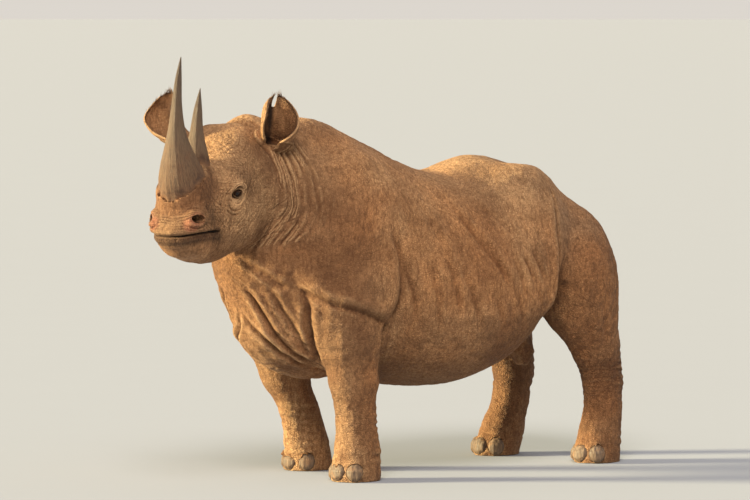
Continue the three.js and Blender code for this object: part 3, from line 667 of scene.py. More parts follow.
def neck_relief(head):
    """Fine hanging folds from the ears to the jaw, and rings under the throat."""
    hx, hy, hz = head.T
    closer = 1 + 0.0016 * np.clip(hz, -330, 60)
    across = (hx + 0.36 * hz) / closer
    aside = ramp(30, 100, np.abs(hy))
    here = ramp(-330, -190, across) * ramp(26, -6, across) * ramp(-400, -320, hz) * ramp(150, 80, hz)
    sway = across + 9 * noise(head, 90, 31)
    lift = np.zeros(len(head))
    for at, depth, width in ((-4, 8, 10), (-34, 4, 7), (-62, 5, 8), (-92, 7, 9), (-128, 3, 8), (-170, 5, 11)):
        s = sway - at
        lift += 0.5 * depth * bump(s, -2.2 * width, 1.6 * width) - depth * bump(s, 0, width)
    lift *= here * aside * (0.7 + 0.3 * noise(head, 120, 32))
    lift -= 4.2 * here * aside * creases(sway, hz, 12, 130, 33)
    # rings that follow the jaw, and the throat behind them
    ring = np.hypot(hx - 270, hz + 20)
    throat = ramp(268, 290, ring) * ramp(430, 360, ring) * ramp(-150, -230, hz) * ramp(-180, -90, hx)
    lift -= 3.4 * throat * creases(ring + 0.3 * np.abs(hy), hy + hx, 22, 160, 34)
    # the crown ends in a deep crease from ear to ear, and the nape rises behind it
    top = ramp(30, 95, hz)
    lift -= 0.11 * hy * bump(hx, -40, 90) * top
    lift += 26 * bump(hx, -55, 62) * bump(hy, -122, 42) * top
    gap, along = beside(hx, hy, [(-70, 128), (-104, 90), (-122, 45), (-126, 0), (-124, -60), (-112, -110)])
    lift -= 31 * top * ramp(0, 0.14, along) * ramp(1, 0.8, along) * bump(gap, 0, 25)
    lift += 13 * bump(hx, -200, 38) * bump(hy, 25, 62) - 9 * bump(hx, -165, 50) * bump(hy, -82, 32)
    gap, along = beside(hx, hy, [(-100, 132), (-140, 92), (-158, 50), (-166, 10)])
    lift -= 8 * ramp(0, 0.2, along) * ramp(1, 0.6, along) * bump(gap, 0, 8) * top
    return lift


# ------------------------------------------------------------------ carving: head
NOSTRIL = (582, 112, 14)
NOSTRIL_DEPTH = (573, 96, 10)
NOSTRIL_FLOOR = (586, 104, 8)
PAD = (608, 87, 2)  # the soft pink cushion before a nostril


def on_side(place, s):
    """A place on the head's left side, or its mirror image where s is -1."""
    return np.array(place, float) * (1, s, 1)


def from_place(head, at, s, half=(1, 1, 1)):
    """How far each point is from a place on one side, over a half size for each axis."""
    return np.linalg.norm((head - on_side(at, s)) / half, axis=1)


def from_pair(head, at, half=(1, 1, 1)):
    """How far each point is from the nearer of two mirrored places, over a half size for each axis."""
    return np.minimum(*[from_place(head, at, s, half) for _, s in SIDES])


def round_horn(head, name="horn_front"):
    """How far each point is from the middle of a horn's foot, 1 at its edge."""
    spec = HORNS[name]
    return np.hypot((head[:, 0] - spec["root"][0]) / spec["base"][1], head[:, 1] / spec["base"][0])


def head_share(head):
    """1 on the head and 0 on the neck and the trunk."""
    return ramp(-60, 60, head[:, 0]) * ramp(-380, -320, head[:, 2])


def head_relief(head):
    """Lips, muzzle lines, brow, cheek and the collars of the horns."""
    x, y, z = head.T
    side_y = np.abs(y)
    lift = 1.6 * noise(head, 60, 41) + 0.9 * noise(head, 24, 42)

    # the mouth: lips that roll in to a dark line, an upper lip that ends in a point over the lower
    s, _ = beside(x, z, MOUTH)
    reach = ramp(MOUTH_CORNER - 14, MOUTH_CORNER + 30, x)
    slit = 9 + 6 * ramp(-20, 50, y)
    lift += reach * (9 * bump(s, -14, 10) + 5 * bump(s, 24, 13) - slit * bump(s, 2, 4.2))
    lift += 10 * bump(x, 650, 30) * bump(y, 16, 34) * bump(z, -20, 20)
    corner = bump(np.hypot(x - MOUTH_CORNER, z + 112), 0, 40)
    lift -= 3.2 * corner * creases(x + z, x - z, 12, 60, 43)

    # lines across the muzzle, from the front horn down to the lip, which rise over the nostrils
    hole = from_pair(head, NOSTRIL)
    slope = 0.73 * x - 0.69 * z + 24 * bump(hole, 0, 46) + 0.0011 * side_y**2
    nose = ramp(490, 530, x) * ramp(-6, -16, s) * ramp(20, 34, hole) * ramp(150, 120, side_y)
    nose *= 1 - 0.8 * ramp(34, 22, from_pair(head, PAD))
    nose *= ramp(1.06, 1.2, round_horn(head))
    strength = 0.55 + 0.6 * noise(head, 30, 45)
    bent = slope + 5 * noise(head, 46, 44) + 1.6 * noise(head, 17, 54)
    lift -= 2.9 * nose * np.clip(strength, 0, 1.2) * lines(bent, 12.5, 2)
    lift -= 1.5 * nose * creases(bent, y, 11, 90, 57)
    cheek = ramp(390, 450, x) * ramp(560, 500, x) * ramp(60, 100, side_y) * ramp(4, -12, s)
    lift -= 2.4 * cheek * creases(0.8 * z + 0.5 * x, x, 14, 80, 46)

    # wrinkles between the eye and the front horn, and whorls on the forehead
    brow = ramp(310, 360, x) * ramp(480, 430, x) * ramp(40, 70, side_y) * ramp(-120, -60, z)
    brow *= ramp(1.14, 1.42, round_horn(head))
    lift -= 2.8 * brow * creases(x - 0.5 * z, z, 16, 90, 47)
    crown = ramp(-90, -10, x) * ramp(280, 220, x) * ramp(40, 70, z)
    whorl = np.hypot(x - 70, 1.2 * side_y) + 16 * noise(head, 70, 55)
    lift -= 2.6 * crown * creases(whorl, np.arctan2(y, x - 70) * 60, 17, 70, 48)
    temple = ramp(60, 120, x) * ramp(260, 210, x) * ramp(-60, 0, z) * ramp(100, 50, z)
    lift -= 2.8 * temple * creases(z + 0.5 * x, x, 15, 90, 52)
    lift += 6 * bump(side_y, 96, 26) * bump(x, 262, 60) * bump(z, 70, 34)

    face = ramp(20, 90, x) * ramp(-6, -20, s) * ramp(-260, -200, z) * ramp(1.14, 1.42, round_horn(head))
    web = creases(z + 0.7 * x, x - z, 17, 60, 58) + creases(z - 0.5 * x, x, 19, 70, 59)
    lift -= 1.7 * face * web * ramp(30, 70, side_y)

    # the lower lip, chin, jaw and cheek
    lip = ramp(460, 500, x) * ramp(8, 16, s) * ramp(70, 50, s)
    lift -= 1.7 * lip * creases(x - side_y, z, 12, 40, 50)
    jaw = ramp(-40, 60, x) * ramp(500, 440, x) * ramp(-60, -120, z)
    lift -= 2.2 * jaw * creases(0.55 * x + z, x - z, 20, 110, 49)
    lift += 6 * bump(x, 130, 70) * bump(z, -170, 90) * ramp(70, 120, side_y)
    chin = ramp(480, 520, x) * ramp(60, 74, s)
    lift -= 1.4 * chin * creases(x - 0.6 * side_y, y, 17, 60, 53)

    # the skin climbs a little onto each horn, in rings
    for name, rise in (("horn_front", 16), ("horn_rear", 6)):
        edge = round_horn(head, name)
        above = ramp(-40, 10, z)
        lift += above * rise * bump(edge, 1.0, 0.26)
        lift -= above * 1.4 * bump(edge, 1.36, 0.2) * lines(edge * 100 + 7 * noise(head, 36, 51), 13)
    return lift * head_share(head)


def sculpt_nostrils(head, normal):
    """Each nostril: a deep slanting hole with a raised rim, and a soft cushion before it."""
    moved = head.copy()
    for _, s in SIDES:
        at = on_side(NOSTRIL, s)
        out = np.array((0.42, s * 0.88, 0.2))
        out /= np.linalg.norm(out)
        slot = np.array((-0.78, s * 0.45, -0.3))
        slot = slot - out * (out @ slot)
        slot /= np.linalg.norm(slot)
        aside = np.cross(out, slot)
        offset = head - at
        u, v = offset @ slot, offset @ aside
        distance = np.linalg.norm(offset, axis=1)
        near = ramp(74, 56, distance) * (normal @ out > -0.2)
        ragged = 1 + 0.07 * noise(head, 14, 56)
        high = -s * v / 20  # above 0 over the hole
        r = np.hypot((u + 0.12 * v) / 26, v / np.where(high > 0, 18, 21)) * ragged
        push = 34 * ramp(1.0, 0.35, r) - (3 + 3 * ramp(-0.3, 0.6, high)) * bump(r, 1.45, 0.4)
        hood = 2.8 * bump(r, 2.15, 0.18) + 2.0 * bump(r, 2.85, 0.17) * ramp(-0.4, 0.5, high)
        moved -= (near * (push + hood))[:, None] * out
        cushion = from_place(head, PAD, s, (30, 32, 30))
        forward = np.array((0.72, s * 0.62, -0.3))
        moved += (8 * bump(cushion, 0, 0.8) * ramp(0.9, 1.6, r))[:, None] * forward
    return moved


def eye_axes(s):
    """An eye's forward, outward and upward axes in the head's frame."""
    a = math.radians(EYE["ahead"])
    tilt = math.radians(EYE_TILT)
    out = np.array((math.sin(a), s * math.cos(a), 0))
    ahead = np.array((math.cos(a), -s * math.sin(a), 0))
    up = np.array((0, 0, 1.0))
    forward = math.cos(tilt) * ahead - math.sin(tilt) * up
    return forward, out, math.cos(tilt) * up + math.sin(tilt) * ahead


EYE_TILT = -12  # degrees the lids' front corner lies below their back one, in the head's frame
LID_HALF = (20, 16.5, 14)  # half the opening's length, and how far it reaches up and down
EYE_RINGS = [  # folds round an eye: middle (forward, up), half axes, depth, the way they face and how far
    ((-3, -14), (30, 34), 3.6, -105, 0.16),
    ((4, -26), (50, 50), 4.6, -60, 0.24),
    ((6, -22), (72, 70), 3.6, -28, 0.3),
    ((-2, 0), (31, 26), 4.2, 95, 0.22),
    ((0, 2), (44, 40), 3.2, 80, 0.3),
    ((-6, -6), (40, 40), 2.6, 190, 0.12),
]


def sculpt_eyes(head):
    """Lids that hug each eyeball, with a round opening, folds above and bags below."""
    moved = head.copy()
    radius = EYE["radius"]
    for _, s in SIDES:
        forward, out, up = eye_axes(s)
        centre = on_side(EYE["at"], s)
        offset = head - centre
        u, h, v = offset @ forward + 4, offset @ out, offset @ up
        near = (np.hypot(u, v) < 120) & (h > -50)
        long, high_up, low_down = LID_HALF
        tall = np.where(v > 0, high_up, low_down)
        ring = np.hypot(u / long, v / tall)
        # vertices near the lids' margin are drawn onto it, so that the margin is clean
        snap = 1 + (1.04 / np.maximum(ring, 0.01) - 1) * (np.abs(ring - 1.04) < 0.12)
        u, v = u * snap, v * snap
        r = np.hypot(u, v)
        ring = np.hypot(u / long, v / tall)
        ball = np.sqrt(np.maximum(radius**2 - r**2, 0))
        lid = np.sqrt(np.maximum((radius + 5) ** 2 - r**2, 0))
        lid = np.maximum(lid, 8 - 0.25 * (r - radius))
        target = np.where(ring < 0.98, ball - 8, lid)
        blend = ramp(2.5, 1.3, ring) * ramp(44, 30, r)
        high = h * (1 - blend) + target * blend
        above = ramp(-4, 10, v)
        high += above * (3.5 * bump(ring, 2.5, 0.4) - 2.4 * bump(ring, 1.55, 0.14))
        for (mu, mv), (hu, hv), depth, facing, spread in EYE_RINGS:
            e = np.hypot((u - mu) / hu, (v - mv) / hv)
            way = np.degrees(np.arctan2(v - mv, u - mu))
            off = np.abs((way - facing + 180) % 360 - 180) / 180
            fade = ramp(spread + 0.22, spread, off) * ramp(1.4, 1.7, ring)
            fade *= 0.75 + 0.5 * noise(head, 22, 60)
            width = 3.4 / math.sqrt(hu * hv)
            high += 1.3 * fade * depth * (0.6 * bump(e, 1 + 2.6 * width, 2 * width) - bump(e, 1, width))
        bag = ramp(70, 50, r) * (ring > 1.6) * ramp(6, -10, v)
        fine = creases(np.hypot(u, v + 14), np.degrees(np.arctan2(v + 14, u)), 8.5, 40, 55)
        high -= 1.5 * bag * fine
        result = centre + (u - 4)[:, None] * forward + high[:, None] * out + v[:, None] * up
        moved[near] = result[near]
    return moved


# ------------------------------------------------------------------ the skin
def ear_part(head):
    """How far each point belongs to an ear's cup, from 0 to 1, and how far it lies inside the cup."""
    cup, inside = np.zeros(len(head)), np.zeros(len(head))
    for side, _ in SIDES:
        own = in_ear(head, side)
        t = own[:, 2] / EAR_LENGTH
        radius = curve(EAR_RADIUS, t)
        x, y = ear_axis(side, t)
        off = np.hypot(own[:, 0] - x, own[:, 1] - y)
        here = (t > 0.06) & (t < 1.1) & (off < 1.6 * radius)
        cup = np.where(here, np.maximum(cup, ramp(0.06, 0.2, t)), cup)
        deep = ramp(radius - 2, radius - 5, off) * ramp(0.1, 0.18, t)
        inside = np.where(here, np.maximum(inside, deep), inside)
    return cup, inside


def ray_tree(mesh):
    """A mesh made ready for ray casts."""
    return BVHTree.FromPolygons(points_of(mesh).tolist(), [tuple(face.vertices) for face in mesh.polygons])


def openness(mesh, world, normal, chosen):
    """How much of the space over each chosen vertex is clear of the skin, from 0 to 1."""
    tree = ray_tree(mesh)
    rays = np.random.default_rng(5).normal(size=(14, 3))
    rays /= np.linalg.norm(rays, axis=1)[:, None]
    clear = np.ones(len(world))
    for i in np.flatnonzero(chosen):
        start = Vector(world[i] + 0.004 * normal[i])
        ways = rays * np.sign(rays @ normal[i])[:, None]
        clear[i] = np.mean([tree.ray_cast(start, Vector(way), 0.25)[0] is None for way in ways])
    return clear


def make_skin():
    skin = flesh_base()
    mesh = skin.data
    head = in_head(points_of(mesh))
    refine(mesh, (head[:, 0] > -210) & (head[:, 2] > -345) & (np.abs(head[:, 1]) < 290))
    head = in_head(points_of(mesh))
    snout = (head[:, 0] > 395) & (head[:, 2] > -190)
    refine(mesh, snout | (from_pair(head, EYE["at"]) < 80))
    refine(mesh, from_pair(in_head(points_of(mesh)), EYE["at"]) < 36)
    net = Net(mesh)
    head = in_head(points_of(mesh))
    on_head = ramp(-60, 40, head[:, 0]) * ramp(-345, -300, head[:, 2])
    set_points(mesh, net.relax(points_of(mesh), 10, on_head))
    join_ears(skin)
    mesh = skin.data

    world, normal = points_of(mesh), normals_of(mesh)
    trunk, head = in_trunk(world), in_head(world)
    cup, inside = ear_part(head)
    on_head = ramp(-90, 10, head[:, 0]) * ramp(-400, -340, head[:, 2])
    sole = ramp(2, 26, trunk[:, 2])
    lift = body_relief(trunk) * (1 - on_head) + neck_relief(head) + head_relief(head)
    lift = np.maximum(lift, -40) * (1 - cup) * sole
    world = world + lift[:, None] * MM * normal
    head = in_head(world)
    set_points(mesh, from_head(sculpt_nostrils(head, normal @ HEAD_TURN)))
    set_points(mesh, from_head(sculpt_eyes(in_head(points_of(mesh)))))
    net = Net(mesh)
    world = net.relax(points_of(mesh), 2, 0.5)
    head = in_head(world)
    collar = bump(round_horn(head), 1.28, 0.22) * ramp(20, 45, head[:, 2])
    world = net.relax(world, 14, collar, keep_size=False)
    world[:, 2] = np.maximum(world[:, 2], 0)
    set_points(mesh, world)
    smooth_all(mesh)
    paint(mesh, net, lift, cup, inside)
    return skin


# ------------------------------------------------------------------ colours kept on the skin
def srgb(r, g, b):
    """A colour of 0 to 255 in linear light."""
    c = np.array((r, g, b)) / 255
    return np.where(c <= 0.04045, c / 12.92, ((c + 0.055) / 1.055) ** 2.4)


HIDE = srgb(200, 150, 104)
RED_DUST = srgb(196, 138, 90)
GREY_HIDE = srgb(178, 143, 110)
# pale dust, also used as the colour of painted highlights
PALE_DUST_AND_HIGHLIGHT = srgb(226, 184, 138)
# darker hide, also used as the colour of painted shade
DARK_HIDE_AND_SHADE = srgb(126, 86, 56)
MUZZLE = srgb(108, 79, 54)
LIP = srgb(78, 49, 29)
PINK = srgb(140, 88, 64)
# the inside of an ear, painted orange-brown as the glow of light shining through it
INSIDE_EAR_AND_GLOW = srgb(122, 78, 44)
# black skin, also used as the colour of painted shade in deep places
BLACK_SKIN_AND_SHADE = srgb(34, 23, 18)


def set_value(mesh, name, values):
    """Stores a number or a colour for each vertex."""
    kind = "FLOAT" if values.ndim == 1 else "FLOAT_COLOR"
    layer = mesh.attributes.new(name, kind, "POINT")
    if values.ndim == 1:
        layer.data.foreach_set("value", values.astype(np.float32))
    else:
        filled = np.concatenate([values, np.ones((len(values), 1))], 1)
        layer.data.foreach_set("color", filled.astype(np.float32).ravel())


def paint(mesh, net, lift, cup, inside):
    """A tint with painted shade and highlights in places, and a crease shade, for each vertex, from its place
    and from the form of the skin.
    """
    world, normal = points_of(mesh), normals_of(mesh)
    trunk, head = in_trunk(world), in_head(world)
    x, y, z = trunk.T
    hx, hy, hz = head.T
    tint = np.tile(HIDE, (len(world), 1))

    def mix(colour, share):
        nonlocal tint
        share = np.clip(share, 0, 1)[:, None]
        tint = tint * (1 - share) + colour * share

    mix(RED_DUST, 0.5 + 0.6 * noise(trunk, 340, 61) + 0.2 * noise(trunk, 90, 62))
    mix(GREY_HIDE, 0.8 * ramp(-200, -480, x) * ramp(820, 1080, z) * (0.6 + 0.5 * noise(trunk, 170, 63)))
    # painted highlight: paler towards the top of the back, unevenly
    mix(PALE_DUST_AND_HIGHLIGHT, 0.75 * ramp(1080, 1340, z) * (0.6 + 0.5 * noise(trunk, 190, 64)))
    mix(PALE_DUST_AND_HIGHLIGHT, 0.3 * ramp(0.1, 0.8, noise(trunk, 230, 68)))
    mix(DARK_HIDE_AND_SHADE, 0.35 * ramp(0.1, 0.9, noise(trunk, 260, 69)))
    # painted shade: darker where the skin faces down and low on the body
    mix(DARK_HIDE_AND_SHADE, 0.2 * ramp(0.4, -0.6, normal[:, 2]) + 0.2 * ramp(620, 330, z))
    # painted shade on the thigh and rump
    mix(DARK_HIDE_AND_SHADE, 0.4 * ramp(-740, -900, x) * ramp(1150, 900, z))
    # painted highlight on the forelegs' sides that face forwards
    foreleg_highlight = ramp(820, 640, z) * ramp(120, 200, x) * ramp(-0.2, 0.7, normal[:, 0])
    mix(PALE_DUST_AND_HIGHLIGHT, 0.75 * foreleg_highlight * (0.75 + 0.4 * noise(trunk, 60, 59)))
    mix(PALE_DUST_AND_HIGHLIGHT, 0.3 * bump(x, 330, 170) * bump(z, 860, 150) * ramp(150, 230, np.abs(y)))
    mix(PALE_DUST_AND_HIGHLIGHT, 0.3 * ramp(300, 40, z) * (0.6 + 0.5 * noise(trunk, 60, 65)))
    on_head = head_share(head)
    # painted shade on the neck behind the jaw
    nape = ramp(-330, -190, hx + 0.36 * hz) * ramp(20, -10, hx + 0.36 * hz) * ramp(120, 40, hz)
    mix(DARK_HIDE_AND_SHADE, 0.65 * nape)
    mix(GREY_HIDE, 0.3 * on_head)
    mix(DARK_HIDE_AND_SHADE, on_head * (0.26 + 0.3 * noise(head, 70, 70) + 0.18 * ramp(430, 520, hx)))
    beyond, _ = beside(hx, hz, MOUTH)
    lower_lip = on_head * ramp(MOUTH_CORNER - 30, MOUTH_CORNER + 30, hx)
    mix(LIP, 0.95 * lower_lip * ramp(-3, 3, beyond) * ramp(60, 28, beyond))
    # painted highlight: paler on the top of the head
    mix(PALE_DUST_AND_HIGHLIGHT, 0.25 * on_head * ramp(40, 110, hz) * ramp(330, 240, hx))
    mix(PALE_DUST_AND_HIGHLIGHT, 0.8 * on_head * bump(hx, 240, 150) * bump(hz, -130, 100) * ramp(60, 110, np.abs(hy)))
    mix(MUZZLE, 0.72 * on_head * ramp(400, 480, hx) * ramp(-6, 2, -beyond))
    crust = on_head * ramp(0, 50, hz) * ramp(1.75, 1.1, round_horn(head))
    mix(DARK_HIDE_AND_SHADE, 0.9 * crust)
    # painted highlight along the cheekbone behind the eye
    cheekbone_highlight = on_head * bump(hx + 0.1 * hz, 92, 44) * ramp(100, 40, hz) * ramp(-230, -170, hz)
    mix(PALE_DUST_AND_HIGHLIGHT, 0.55 * cheekbone_highlight * ramp(70, 120, np.abs(hy)))
    # painted shade in a band behind the cheekbone
    mix(DARK_HIDE_AND_SHADE, 0.4 * bump(hx + 0.1 * hz, 10, 36) * ramp(120, 60, hz) * ramp(70, 120, np.abs(hy)))
    for _, s in SIDES:
        pad = from_place(head, PAD, s, (42, 44, 38))
        mix(PINK, (0.85 + 0.35 * noise(head, 16, 66)) * ramp(1.1, 0.5, pad))
        rim = from_place(head, NOSTRIL, s, (42, 40, 32))
        mix(PINK, (0.6 + 0.3 * noise(head, 12, 67)) * ramp(1.15, 0.7, rim))
        # painted shade deep inside the nostril
        hole = from_place(head, NOSTRIL_DEPTH, s, (33, 24, 25))
        mix(BLACK_SKIN_AND_SHADE, ramp(1.0, 0.65, hole))
        eye = from_place(head, EYE["at"], s)
        mix(GREY_HIDE, 0.6 * ramp(62, 34, eye))
        mix(BLACK_SKIN_AND_SHADE, 0.92 * ramp(29, 24.5, eye))
    # painted shade in the slit of the mouth, stronger on the left
    slit = on_head * ramp(MOUTH_CORNER - 10, MOUTH_CORNER + 25, hx) * bump(beyond, 1, 4)
    mix(BLACK_SKIN_AND_SHADE, 0.9 * slit * (0.1 + 0.9 * ramp(-10, 50, hy)))
    mix(DARK_HIDE_AND_SHADE, 0.45 * cup * (1 - inside))
    # the inside of the ears, painted orange-brown as the glow of light shining through them
    mix(INSIDE_EAR_AND_GLOW, 0.95 * inside)
    # painted shade deep in the ear cups, where little space over the skin is open
    clear = openness(mesh, world, normal, inside > 0.2)
    clear = net.mean(net.mean(clear[:, None]))[:, 0]
    mix(BLACK_SKIN_AND_SHADE, 0.8 * inside * ramp(0.62, 0.3, clear))
    # painted shade in the deep fold on one side of the left ear's cup
    own = in_ear(head, "left")
    rise = own[:, 2] / EAR_LENGTH
    inwards = (np.stack(ear_axis("left", rise), 1) - own[:, :2]) / curve(EAR_RADIUS, rise)[:, None]
    own_normal = normal @ HEAD_TURN @ ear_frame("left")[0]
    facing = (inwards * own_normal[:, :2]).sum(1)
    off = np.linalg.norm(inwards, axis=1)
    shade = cup * (hy > 0) * ramp(0.1, 0.4, facing) * ramp(0.97, 0.8, rise) * ramp(1.08, 0.98, off)
    mix(INSIDE_EAR_AND_GLOW, 0.6 * shade)
    mix(BLACK_SKIN_AND_SHADE, 0.9 * shade * ramp(0.12, -0.18, -inwards[:, 1]))
    set_value(mesh, "Tint", tint)

    # how sharply the skin is hollowed, in 1/mm, whatever the size of its faces
    edge = np.linalg.norm(world[net.a] - world[net.b], axis=1) / MM
    size = (np.bincount(net.a, edge, net.n) + np.bincount(net.b, edge, net.n)) / net.degree
    hollow = 2 * ((net.mean(world) - world) * normal).sum(1) / MM / size**2
    hollow = np.clip(hollow, -0.6, 0.6)
    for _ in range(2):
        hollow = 0.5 * hollow + 0.5 * net.mean(hollow[:, None])[:, 0]
    # painted shade: darker in the skin's hollows and where its relief sinks in
    dark = 0.75 * ramp(0.004, 0.085, hollow) + 0.55 * ramp(-3, -14, lift)
    # the ridges are paler, partly wear and partly painted highlight, less so on the snout
    worn = ramp(-0.006, -0.06, hollow) * (1 - 0.85 * on_head * ramp(360, 440, hx))
    dark *= 1 - 0.25 * on_head * ramp(400, 480, hx)
    set_value(mesh, "CreaseShade", np.clip(dark, 0, 1) * (1 - cup))
    set_value(mesh, "Worn", np.clip(worn, 0, 1))
    # how smooth the hide is between its larger folds
    snout = on_head * ramp(480, 530, hx)
    round_eye = ramp(80, 50, from_pair(head, EYE["at"]))
    plain = [0.8 * snout, 0.9 * round_eye, 0.5 * nape, 0.6 * inside, 0.4 * cup]
    set_value(mesh, "Plain", np.maximum.reduce(plain))
    set_value(mesh, "Wet", ramp(33, 21, from_pair(head, NOSTRIL_FLOOR)))


# ------------------------------------------------------------------ materials
class Shader:
    """A material and a short way to add and link its nodes."""

    def __init__(self, name):
        self.material = bpy.data.materials.new(name)
        self.material.use_nodes = True
        self.tree = self.material.node_tree
        self.main = self.tree.nodes["Principled BSDF"]

    def node(self, kind, settings=None, **inputs):
        made = self.tree.nodes.new(f"ShaderNode{kind}")
        for key, value in (settings or {}).items():
            setattr(made, key, value)
        for key, value in inputs.items():
            self.put(made.inputs[key.replace("_", " ")], value)
        return made

    def put(self, socket, value):
        if isinstance(value, bpy.types.NodeSocket):
            self.tree.links.new(value, socket)
        elif isinstance(value, (tuple, list, np.ndarray)) and len(socket.default_value) == 4:
            socket.default_value = (*value[:3], 1)
        else:
            socket.default_value = value

    def value(self, name):
        return self.node("Attribute", {"attribute_name": name})

    def noise(self, vector, scale, detail=4, rough=0.6):
        made = self.node("TexNoise", Vector=vector, Scale=scale, Detail=detail, Roughness=rough)
        return made.outputs["Fac"]

    def cracks(self, vector, scale, width):
        """1 on the skin's plates and 0 in the cracks between them."""
        cells = self.node("TexVoronoi", {"feature": "DISTANCE_TO_EDGE"}, Vector=vector, Scale=scale)
        return self.range(cells.outputs["Distance"], 0, width, 0, 1)

    def range(self, value, low, high, to_low, to_high):
        made = self.node("MapRange", {"interpolation_type": "SMOOTHSTEP"}, Value=value)
        for key, number in (("From Min", low), ("From Max", high), ("To Min", to_low), ("To Max", to_high)):
            made.inputs[key].default_value = number
        return made.outputs["Result"]

    def math(self, operation, a, b=0.0):
        made = self.node("Math", {"operation": operation})
        self.put(made.inputs[0], a)
        self.put(made.inputs[1], b)
        return made.outputs[0]

    def mix(self, share, a, b, kind="MIX"):
        made = self.node("Mix", {"data_type": "RGBA", "blend_type": kind})
        for socket, value in zip((made.inputs[0], made.inputs[6], made.inputs[7]), (share, a, b)):
            self.put(socket, value)
        return made.outputs[2]

    def warped(self, scale, amount):
        """Object coordinates bent by noise."""
        where = self.node("TexCoord").outputs["Object"]
        bend = self.node("TexNoise", Vector=where, Scale=scale, Detail=2)
        shift = self.node("VectorMath", {"operation": "SCALE"})
        self.put(shift.inputs[0], bend.outputs["Color"])
        shift.inputs["Scale"].default_value = amount
        total = self.node("VectorMath", {"operation": "ADD"})
        self.put(total.inputs[0], where)
        self.put(total.inputs[1], shift.outputs[0])
        return where, total.outputs[0]

    def finish(self, colour, roughness, height, depth_m, strength=1.0, **fixed):
        self.put(self.main.inputs["Base Color"], colour)
        self.put(self.main.inputs["Roughness"], roughness)
        relief = self.node("Bump", Height=height, Strength=strength, Distance=depth_m)
        self.put(self.main.inputs["Normal"], relief.outputs[0])
        for key, value in fixed.items():
            self.main.inputs[key.replace("_", " ")].default_value = value
        return self.material


def hide_material():
    s = Shader("rhinoceros_hide")
    where, bent = s.warped(30, 0.014)
    folds = s.cracks(bent, 44, 0.2)
    plates = s.cracks(bent, 120, 0.24)
    scales = s.cracks(where, 260, 0.3)
    grain = s.noise(where, 520, 3, 0.7)
    blotch = s.noise(where, 3.4, 4, 0.55)
    stain = s.noise(where, 13, 5, 0.6)
    speck = s.noise(where, 70, 5, 0.7)
    hanging = s.node("Mapping", Vector=bent)
    hanging.inputs["Scale"].default_value = (1, 1, 0.22)
    strand = s.noise(hanging.outputs[0], 75, 4, 0.65)
    tint = s.value("Tint").outputs["Color"]
    crease = s.value("CreaseShade").outputs["Fac"]
    worn = s.value("Worn").outputs["Fac"]
    rough = s.range(s.value("Plain").outputs["Fac"], 0, 1, 1, 0.25)
    light = s.mix(1, tint, (1.44, 1.40, 1.34), "MULTIPLY")
    dark = s.mix(1, tint, (0.50, 0.43, 0.38), "MULTIPLY")
    colour = s.mix(s.range(blotch, 0.46, 0.66, 0, 0.7), tint, light)
    colour = s.mix(s.range(blotch, 0.5, 0.34, 0, 0.45), colour, dark)
    colour = s.mix(s.range(stain, 0.48, 0.66, 0, 0.45), colour, dark)
    colour = s.mix(s.range(stain, 0.46, 0.32, 0, 0.35), colour, light)
    colour = s.mix(s.range(speck, 0.46, 0.64, 0, 0.42), colour, dark)
    colour = s.mix(s.range(speck, 0.46, 0.32, 0, 0.34), colour, light)
    colour = s.mix(s.range(strand, 0.48, 0.6, 0, 0.55), colour, dark)
    # ridges paler: partly wear, partly painted highlight
    colour = s.mix(s.math("MULTIPLY", worn, 0.5), colour, PALE_DUST_AND_HIGHLIGHT)
    # painted shade in the creases, and in the cracks between plates and scales where the hide is not plain
    darker = s.mix(1, colour, (0.36, 0.28, 0.23), "MULTIPLY")
    colour = s.mix(s.math("MULTIPLY", crease, 0.9), colour, darker)
    for cells, share in ((folds, 0.3), (plates, 0.5), (scales, 0.36)):
        gap = s.math("MULTIPLY", s.math("SUBTRACT", 1.0, cells), rough)
        colour = s.mix(s.math("MULTIPLY", gap, share), colour, darker)
    height = s.math("ADD", s.math("MULTIPLY", plates, 0.4), s.math("MULTIPLY", scales, 0.18))
    for part, share in ((folds, 0.22), (strand, 0.9), (speck, 0.5)):
        height = s.math("ADD", height, s.math("MULTIPLY", part, share))
    height = s.math("MULTIPLY", height, rough)
    for part, share in ((grain, 0.12), (stain, 0.6)):
        height = s.math("ADD", height, s.math("MULTIPLY", part, share))
    wet = s.value("Wet").outputs["Fac"]
    gloss = s.math("SUBTRACT", s.range(speck, 0.3, 0.7, 0.68, 0.86), s.math("MULTIPLY", wet, 0.4))
    return s.finish(colour, gloss, height, 0.008, 1.0, Specular_IOR_Level=0.3)


